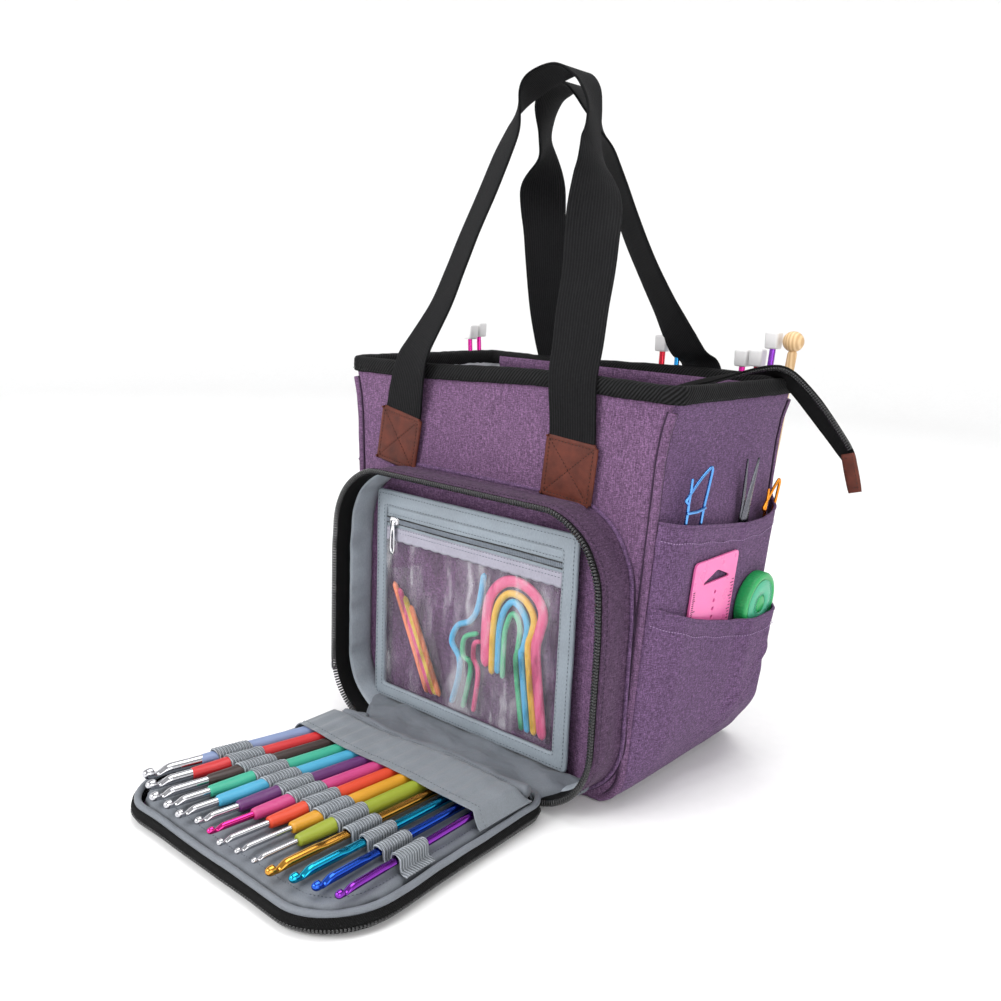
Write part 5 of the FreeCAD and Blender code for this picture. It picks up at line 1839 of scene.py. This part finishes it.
def on_side(points):
    """Points drawn as (along the side, up it, outwards) on the right side."""
    p = np.array(points, float)
    x = HALF_BASE + math.sin(LEAN) * p[..., 1] + math.cos(LEAN) * p[..., 2]
    z = math.cos(LEAN) * p[..., 1] - math.sin(LEAN) * p[..., 2]
    return np.stack([x, p[..., 0], z], axis=-1)


def make_holders():
    """Two stitch holders of bent wire."""
    blue = metal("wire_blue_metal", (0.13, 0.36, 0.80), 0.22)
    orange = metal("wire_orange_metal", (0.85, 0.30, 0.03), 0.22)
    for name, u, tip, foot, width, material, replaced in (
        ("stitch_holder_blue", -45, 236, 100, 20, blue, ("stitch_holders",)),
        ("stitch_holder_orange", 68, 214, 96, 12, orange, ()),
    ):
        left, right = u - width / 2, u + width / 2
        w = 3.8
        wire = [(left, foot, w), (left - 0.4, tip - 60, w), (left + 0.4, tip - 27, w),
            (left - 0.6, tip - 22, w), (left - 2.4, tip - 21, w), (left - 3.0, tip - 18.5, w),
            (u, tip - 7, w + 0.4), (right + 1.5, tip - 0.6, w + 0.2), (right + 4.0, tip - 0.3, w),
            (right + 5.0, tip - 3, w), (right + 3.2, tip - 16, w), (right + 0.6, tip - 34, w),
            (right, tip - 70, w), (right, foot, w)]
        heap = Heap()
        heap.add(*tube(on_side(smooth_path(wire, 150)), 1.15, 10, first=(1, 0, 0)))
        bar = [(left - 0.2, tip - 28, w + 0.9), (u, tip - 28.4, w + 1.3), (right + 1.2, tip - 27.4, w + 0.9)]
        heap.add(*rod(on_side(smooth_path(bar, 10)), 1.25, 10))
        pin = [(left, tip - 27, w), (left + 0.3, tip - 14, w + 0.1), (left + 0.2, tip - 6, w)]
        heap.add(*rod(on_side(smooth_path(pin, 8)), 1.0, 10))
        heap.build(name, material, "stitch_holders", replaced, "wire_blue")


SCISSORS_Y, PIVOT_HEIGHT = 28.0, 186.0


def make_scissors():
    """Small scissors, closed, with a screw at their pivot."""
    steel = metal("scissor_steel_metal", (0.13, 0.13, 0.15), 0.26)
    heap = Heap()
    for sense, w0 in ((-1, 2.2), (1, 4.0)):
        # a blade's outline: back edge, cutting edge, tip
        back = [(3.4 * sense, -6), (4.8 * sense, 3), (4.6 * sense, 12), (5.8 * sense, 28),
            (7.0 * sense, 45.5)]
        cut = [(-3.0 * sense, -6), (-4.2 * sense, 2), (-2.2 * sense, 12), (1.8 * sense, 28),
            (6.6 * sense, 45.3)]
        rows = []
        for s in np.linspace(0, 1, 30):
            b = smooth_at(back, s)
            c = smooth_at(cut, s)
            ring = []
            for share, level in ((0, 0.1), (0.04, 1.5), (0.35, 1.6), (0.55, 1.45), (1.0, 0.35),
                    (1.0, 0.05), (0.5, 0.0)):
                q = b + (c - b) * share
                ring.append((SCISSORS_Y + q[0], PIVOT_HEIGHT + 4.0 + q[1], w0 + level))
            rows.append(ring)
        heap.add(*ring_skin(on_side(np.array(rows))))
        shank = [(SCISSORS_Y - side * sense, PIVOT_HEIGHT - down, w0 + 0.8)
            for side, down in ((1.0, 0), (3.0, 14), (5.5, 28))]
        heap.add(*tube(on_side(smooth_path(shank, 12)), np.linspace(2.3, 1.7, 12), 10, first=(1, 0, 0)))
        ring = [(SCISSORS_Y - 11 * sense + 9.6 * math.cos(a), PIVOT_HEIGHT - 40.0 + 12.5 * math.sin(a),
            w0 + 0.8) for a in np.linspace(0, 2 * math.pi, 40, endpoint=False)]
        heap.add(*tube(on_side(ring), 1.75, 10, closed=True, first=(1, 0, 0)))
    heap.build("scissor_blades", steel, "scissors", ("scissors",), "scissor_steel")
    heap = Heap()
    turn = [(SCISSORS_Y + 2.9 * k * math.cos(a), PIVOT_HEIGHT + 2.9 * k * math.sin(a), 5.6 + lift)
        for k, lift in ((1, 0), (1, 0.7), (0.8, 1.0), (0.01, 1.05))
        for a in np.linspace(0, 2 * math.pi, 20, endpoint=False)]
    heap.add(on_side(turn), grid_faces(4, 20, False, True) + [tuple(range(20))])
    block(heap, on_side((SCISSORS_Y, PIVOT_HEIGHT, 6.7)), ((0, 0.7, 0.7), (0, -0.7, 0.7), (1, 0, 0)),
        (2.2, 0.3, 0.18))
    heap.build("scissor_screw", silver, "scissors", (), "silver_metal")


def smooth_at(points, s):
    """The place at a share s of the way through the points."""
    p = np.array(points, float)
    at = np.linspace(0, 1, len(p))
    return np.array([np.interp(s, at, p[:, 0]), np.interp(s, at, p[:, 1])])


def make_ruler():
    """The gauge ruler: a pink plate with a triangular window, gauge holes and printed ticks."""
    pink = plastic("ruler_pink_plastic", (0.83, 0.16, 0.42), 0.3, 0.05, 0.04)
    ink = plastic("ruler_ink", (0.03, 0.008, 0.02), 0.6)
    left, right, foot, top = -42.0, 18.0, 52.0, 172.0
    w = 8.9
    mesh = bpy.data.meshes.new("ruler_plate")
    work = bmesh.new()

    def loop(points):
        verts = [work.verts.new(Vector(on_side((u, v, w))) * MM) for u, v in points]
        return [work.edges.new((a, b)) for a, b in zip(verts, verts[1:] + verts[:1])]

    def disc(cx, cy, r, count=20):
        return [(cx + r * math.cos(a), cy + r * math.sin(a))
            for a in np.linspace(0, 2 * math.pi, count, endpoint=False)]

    outline = rounded_rect(left, right, foot, top, 3.5, 120)
    edges = loop([tuple(q) for q in outline])
    heights = (146, 139.6, 133.4, 127.2, 121.0, 114.6, 108.0, 101, 93.6, 86, 78, 69.5)
    radii = (1.3, 1.35, 1.45, 1.55, 1.65, 1.8, 1.95, 2.1, 2.3, 2.5, 2.8, 3.1)
    holes = [disc(-9, v, r) for v, r in zip(heights, radii)]
    holes.append([(-27, 154.5), (7, 154.5), (7.5, 155.8), (-8.6, 162), (-11.4, 162), (-27.5, 155.8)])
    for hole in holes:
        edges += loop(hole)
    bmesh.ops.triangle_fill(work, edges=edges, use_beauty=True)
    inside = []
    for face in work.faces:
        c = face.calc_center_median() / MM
        # back from the side's own axes to (u, v)
        u = c.y
        v = (c.z + math.sin(LEAN) * w) / math.cos(LEAN)
        for hole in holes:
            if point_in(hole, u, v):
                inside.append(face)
                break
    bmesh.ops.delete(work, geom=inside, context="FACES_ONLY")
    work.to_mesh(mesh)
    work.free()
    piece = bpy.data.objects.new("ruler_plate", mesh)
    bpy.context.scene.collection.objects.link(piece)
    mesh.materials.append(pink)
    thick = piece.modifiers.new("thick", "SOLIDIFY")
    thick.thickness = 1.7 * MM
    thick.offset = 0
    edge = piece.modifiers.new("edge", "BEVEL")
    edge.width = 0.25 * MM
    edge.segments = 2
    edge.limit_method = "ANGLE"
    apply_modifiers(piece)
    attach(piece, "gauge_ruler")
    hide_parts("gauge_ruler")
    marks = Heap()
    out = on_side((0, 0, 1)) - on_side((0, 0, 0))
    up = on_side((0, 1, 0)) - on_side((0, 0, 0))
    along = np.array((0, 1.0, 0))
    for k in range(60):
        v = 60 + k * 1.55
        reach = 5.2 if k % 10 == 0 else 3.6 if k % 5 == 0 else 2.4
        block(marks, on_side((left + 1.6 + reach / 2, v, w + 0.92)), (along, up, out),
            (reach / 2, 0.26, 0.12))
    for k in range(38):
        v = 60 + k * 2.45
        reach = 4.6 if k % 4 == 0 else 2.8
        block(marks, on_side((right - 1.6 - reach / 2, v, w + 0.92)), (along, up, out),
            (reach / 2, 0.26, 0.12))
    marks.build("ruler_ticks", ink, "gauge_ruler", (), "ruler_pink")


def point_in(polygon, x, y):
    """Whether a place is inside a polygon."""
    inside = False
    for (ax, ay), (bx, by) in zip(polygon, polygon[1:] + polygon[:1]):
        if (ay > y) != (by > y) and x < (bx - ax) * (y - ay) / (by - ay) + ax:
            inside = not inside
    return inside


def make_tape_measure():
    """A round tape measure: green case with a ribbed rim, a clear tinted face and a button."""
    green = plastic("tape_green_plastic", (0.02, 0.36, 0.10), 0.32, 0.08, 0.05)
    clear = plastic("tape_clear_face", (0.10, 0.55, 0.33), 0.12, 0.02, 0.04, Alpha=0.75, IOR=1.45)
    cu, cv, w0, w1 = 50.0, 126.0, 7.9, 18.3
    count = 240
    a = np.linspace(0, 2 * math.pi, count, endpoint=False)
    rib = 0.45 * np.maximum(0, np.sin(a * 60))
    rows = []
    # (radius, height, how much of the rib shows)
    for r, h, show in ((0.5, w0, 0), (19.5, w0, 0), (22.6, w0 + 0.5, 0.2), (23.5, w0 + 1.6, 1),
            (23.6, w1 - 1.9, 1), (22.8, w1 - 0.7, 0.2), (21.2, w1 - 0.1, 0), (19.6, w1, 0),
            (19.0, w1 - 0.5, 0), (18.6, w1 - 0.7, 0), (6.4, w1 - 0.7, 0), (5.9, w1 - 0.1, 0),
            (5.2, w1 + 0.1, 0), (0.4, w1 + 0.25, 0)):
        radius = r - (0.45 - rib) * show
        rows.append(np.stack([cu + radius * np.cos(a), cv + radius * np.sin(a), np.full(count, h)], axis=1))
    build("tape_measure_case", *ring_skin(on_side(np.array(rows))), green, "tape_measure",
        ("tape_measure",), "tape_green")
    rows = []
    for r, h in ((18.4, w1 - 0.55), (18.2, w1 - 0.2), (12, w1 + 0.05), (6.7, w1 - 0.05), (6.6, w1 - 0.5)):
        rows.append(np.stack([cu + r * np.cos(a), cv + r * np.sin(a), np.full(count, h)], axis=1))
    p = on_side(np.array(rows))
    build("tape_measure_face", p.reshape(-1, 3), grid_faces(5, count, True, True), clear, "tape_measure",
        (), "tape_green")


# ================= needles =================
def cap_shape(heap, centre, half, height):
    """A square needle cap with soft edges, a little wider at the top."""
    rows = []
    for t, k in ((0.0, 0.62), (0.02, 0.86), (0.10, 0.95), (0.5, 0.98), (0.86, 1.0), (0.95, 0.95),
            (1.0, 0.78)):
        ring = []
        for a in np.linspace(0, 2 * math.pi, 32, endpoint=False):
            c, s = math.cos(a), math.sin(a)
            ring.append((centre[0] + half * k * math.copysign(abs(c) ** 0.38, c),
                centre[1] + half * k * math.copysign(abs(s) ** 0.38, s), centre[2] + height * t))
        rows.append(ring)
    heap.add(*ring_skin(rows))


def make_knitting_needles():
    """Six knitting needles in the back pocket and two in the left one."""
    white = plastic("needle_cap_white", (0.80, 0.79, 0.79), 0.35, 0.05, 0.03)
    colours = {
        "red": metal("needle_red", (0.55, 0.03, 0.05), 0.2),
        "blue": metal("needle_blue", (0.03, 0.30, 0.68), 0.2),
        "magenta": metal("needle_magenta", (0.60, 0.03, 0.30), 0.2),
        "wine": metal("needle_wine", (0.38, 0.02, 0.06), 0.2),
        "purple": metal("needle_purple", (0.26, 0.06, 0.50), 0.2), "bamboo": wood("needle_bamboo"),
    }
    y = BACK_Y + 4.1
    # (x at the top, x at the foot, top height, radius, colour)
    back = ((30, 27, 298, 2.4, "red"), (44, 40, 305, 2.0, "blue"), (101, 99, 292, 2.4, "magenta"),
            (113, 104.5, 293, 2.2, "wine"), (124.5, 109.5, 307, 2.3, "purple"))
    caps = Heap()
    first = True
    for x, foot_x, z, r, colour in back:
        heap = Heap()
        foot = np.array((foot_x, y, 33.0))
        top = np.array((x, y + 1.5, z + 1))
        heap.add(*rod([foot + (top - foot) * t for t in (0, 0.03, 0.5, 1)], r, 14))
        heap.build("needle_shaft_" + colour, colours[colour], "knitting_needles",
            ("knitting_needles",) if first else (), "needle_mix")
        first = False
        cap_shape(caps, (x, y + 1.5, z), 5.5, 13.0)
    caps.build("needle_caps", white, "knitting_needles", (), "needle_mix")
    heap = Heap()
    foot, top = np.array((115.8, y, 34.0)), np.array((140.0, y + 1.5, 304.0))
    heap.add(*rod([foot + (top - foot) * t for t in (0, 0.03, 0.5, 1)], 3.5, 18))
    rows = []
    for a in np.linspace(0.02, math.pi - 0.02, 22):
        k = 7.8 * math.sin(a)
        rows.append([(140 + k * math.cos(b), y + 1.5 + k * math.sin(b), 313.3 - 7.6 * math.cos(a))
            for b in np.linspace(0, 2 * math.pi, 28, endpoint=False)])
    heap.add(*ring_skin(rows))
    heap.build("needle_bamboo_knob", colours["bamboo"], "knitting_needles", (), "needle_mix")
    heap = Heap()
    caps = Heap()
    rise = math.tan(LEAN)
    for y_left, z in ((61.0, 296.0), (73.0, 298.0)):
        foot = np.array((-(130.6 + rise * 66), y_left, 66.0))
        top = np.array((-(130.6 + rise * z), y_left, z))
        heap.add(*rod([foot + (top - foot) * t for t in (0.02, 0.5, 1)], 1.95, 14))
        cap_shape(caps, (top[0], y_left, z), 5.5, 13.0)
    heap.build("left_needle_shafts", colours["magenta"], "left_needles", ("left_needles",), "needle_mix")
    caps.build("left_needle_caps", white, "left_needles", (), "needle_mix")


def make_small_needles():
    """The flat cable needles and darning needles in the clear pocket."""
    tones = {
        "pink": (0.88, 0.10, 0.28), "yellow": (0.95, 0.55, 0.02), "blue": (0.06, 0.48, 0.82),
        "green": (0.06, 0.55, 0.25), "peach": (0.95, 0.28, 0.14),
        "gold": (0.90, 0.62, 0.05), "orange": (0.88, 0.22, 0.05),
    }
    y = FRONT_Y - 4.6
    depth = 2.2
    parts = {name: Heap() for name in tones}
    # nested U-shaped cable needles: points (x, z) along each, half width, colour
    nested = (
        (((8, 70), (7.2, 100), (9.5, 122), (18, 135), (30, 141), (44, 139.5), (55, 132), (59.2, 122),
        (56.5, 109), (54.5, 92), (64, 31)), 4.2, "pink"),
        (((14.5, 66), (14.4, 100), (17, 118), (23, 128), (31, 132), (41, 130.5), (48.5, 124), (51.5, 116),
        (49.5, 106), (47.4, 92), (56.5, 32)), 2.7, "yellow"),
        (((20, 68), (20, 98), (22, 112), (26, 121), (32, 126), (39, 123), (44, 116), (45.6, 108), (43, 94),
        (41.8, 86), (50.5, 32)), 2.5, "blue"),
        (((25, 66), (25, 96), (27, 108), (31, 116.5), (35.5, 116), (39.2, 108), (38, 92), (37, 80),
        (45, 32)), 2.0, "green"),
    )
    bent = (
        (((3.7, 141), (-1, 114), (-8.5, 101.5), (-20.5, 94.5), (-26, 81), (-18, 70), (-18, 55),
        (-24.5, 31)), 2.3, "blue"),
        (((0, 94), (-13, 87), (-14, 73), (-6, 66), (-12.5, 31)), 2.0, "green"),
        (((3, 88.5), (-3, 85), (-3.7, 74), (1.4, 63), (-1.9, 31)), 1.9, "pink"),
    )
    for points, half, tone in nested + bent:
        line = smooth_path([(x, y, z) for x, z in points], 110)
        parts[tone].add(*flat_rod(line, half, min(half, depth)))
    straight = (((-90, 113), (-50, 31), "peach"), ((-84, 109), (-45, 31), "pink"),
        ((-78, 104), (-41.5, 32), "gold"), ((-71, 98), (-37, 32), "orange"))
    for top, foot, tone in straight:
        path = np.array([(foot[0] + (top[0] - foot[0]) * t, y, foot[1] + (top[1] - foot[1]) * t)
            for t in np.linspace(0, 1, 40)])
        parts[tone].add(*flat_rod(path, 2.3, 2.0))
    first = True
    for tone, heap in parts.items():
        material = plastic("small_needle_" + tone, tones[tone], 0.3, 0.04, 0.05)
        heap.build("small_needles_" + tone, material, "bag", ("small_needles",) if first else (),
            "tools_plastic")
        first = False


def make_sachets():
    """Two clear sachets, crinkled and heat-sealed round their edges."""
    first = True
    for name, corners in (("needle_sachet_left", ((-92, 124), (-60, 134), (-27, 36), (-49, 30))),
            ("needle_sachet_right", ((-22, 148), (73, 150), (73, 31), (-26, 30)))):
        a, b, c, d = [np.array(k, float) for k in corners]
        rows = []
        for s in np.linspace(0, 1, 60):
            column = []
            for t in np.linspace(0, 1, 70):
                q = (a * (1 - s) + b * s) * (1 - t) + (d * (1 - s) + c * s) * t
                edge = min(1.0, 12 * min(s, 1 - s, t, 1 - t))
                crumple = 0.42 * wobble(q[0], q[1], 0.0, 9.0,
                    3.0) + 0.5 * abs(wobble(q[0] + 40, q[1], 0.0, 16.0, 9.0))
                column.append((q[0], FRONT_Y - 7.1 - 0.5 * crumple * edge, q[1]))
            rows.append(column)
        replaced = ("needle_sachets",) if first else ()
        sheet_piece(name + "_film", np.array(rows), 0.1, sachet_film, "bag", replaced, "clear_film")
        first = False


# ================= camera, light, floor =================
def make_stage():
    """Camera, floor, light and background."""
    scene = bpy.context.scene
    target = Vector((-0.057, 0.0, 0.172))
    camera_data = bpy.data.cameras.new("camera")
    camera_data.sensor_width = 36.0
    camera_data.lens = 35.3
    camera = bpy.data.objects.new("camera", camera_data)
    camera.location = (0.450, -0.6023, 0.3453)
    look = (target - camera.location).to_track_quat("-Z", "Y")
    roll = Matrix.Rotation(math.radians(2.5), 4, "Z")
    camera.rotation_mode = "QUATERNION"
    camera.rotation_quaternion = (look.to_matrix().to_4x4() @ roll).to_quaternion()
    scene.collection.objects.link(camera)
    scene.camera = camera

    # a pale floor that sweeps up into a wall all round
    bowl = [(r, 0.0) for r in (0.02, 0.6, 1.4, 2.4)]
    bowl += [(2.4 + 0.8 * math.sin(a), 0.8 - 0.8 * math.cos(a))
        for a in np.linspace(0.1, math.pi / 2, 12)] + [(3.2, 1.9)]
    turns = np.linspace(0, 2 * math.pi, 96, endpoint=False)
    rings = [[(r * math.cos(t), r * math.sin(t), z) for t in turns] for r, z in bowl]
    floor_mesh = bpy.data.meshes.new("floor")
    floor_mesh.from_pydata([p for ring in rings for p in ring], [],
        [f[::-1] for f in grid_faces(len(bowl), 96, False, True)] + [tuple(range(96))])
    floor_mesh.polygons.foreach_set("use_smooth", [True] * len(floor_mesh.polygons))
    floor = bpy.data.objects.new("floor", floor_mesh)
    floor.location = (0, 0, -0.0006)
    scene.collection.objects.link(floor)
    n = Nodes("floor_white")
    cloud = n.noise(n.coords, 90.0, 2.0)
    floor_mesh.materials.append(n.finish(n.ramp(cloud,
        [(0.3, (0.92, 0.92, 0.92)), (0.7, (0.94, 0.94, 0.94))]), 0.9))

    world = bpy.data.worlds.new("studio")
    scene.world = world
    world.use_nodes = True
    world.node_tree.nodes["Background"].inputs[0].default_value = (1, 1, 1, 1)
    world.node_tree.nodes["Background"].inputs[1].default_value = 0.55
    # (place, size, power): a large key from the left, a fill from the right, one above
    for name, place, size, power in (
        ("key", (-0.7, -2.1, 1.6), 1.2, 44.0), ("fill", (2.0, -0.9, 1.1), 1.6, 16.0),
        ("top", (0.0, 0.3, 2.4), 1.8, 34.0),
    ):
        light_data = bpy.data.lights.new(name, "AREA")
        light_data.size = size
        light_data.energy = power
        light = bpy.data.objects.new(name, light_data)
        light.location = place
        light.rotation_mode = "QUATERNION"
        light.rotation_quaternion = (Vector((0, 0, 0.15)) - Vector(place)).to_track_quat("-Z", "Y")
        scene.collection.objects.link(light)
    scene.view_settings.view_transform = "Standard"


for make in (
    make_stage, make_walls, make_lining, make_binding, make_piping, make_side_pockets, make_back_pocket,
    make_top_zip,
    make_case, make_window, make_hinge_cloth, make_flap, make_hook_pocket, make_hooks, make_loops,
    make_handles,
    make_patches, make_sliders, make_tail, make_holders, make_scissors, make_ruler, make_tape_measure,
    make_knitting_needles, make_small_needles, make_sachets,
):
    make()
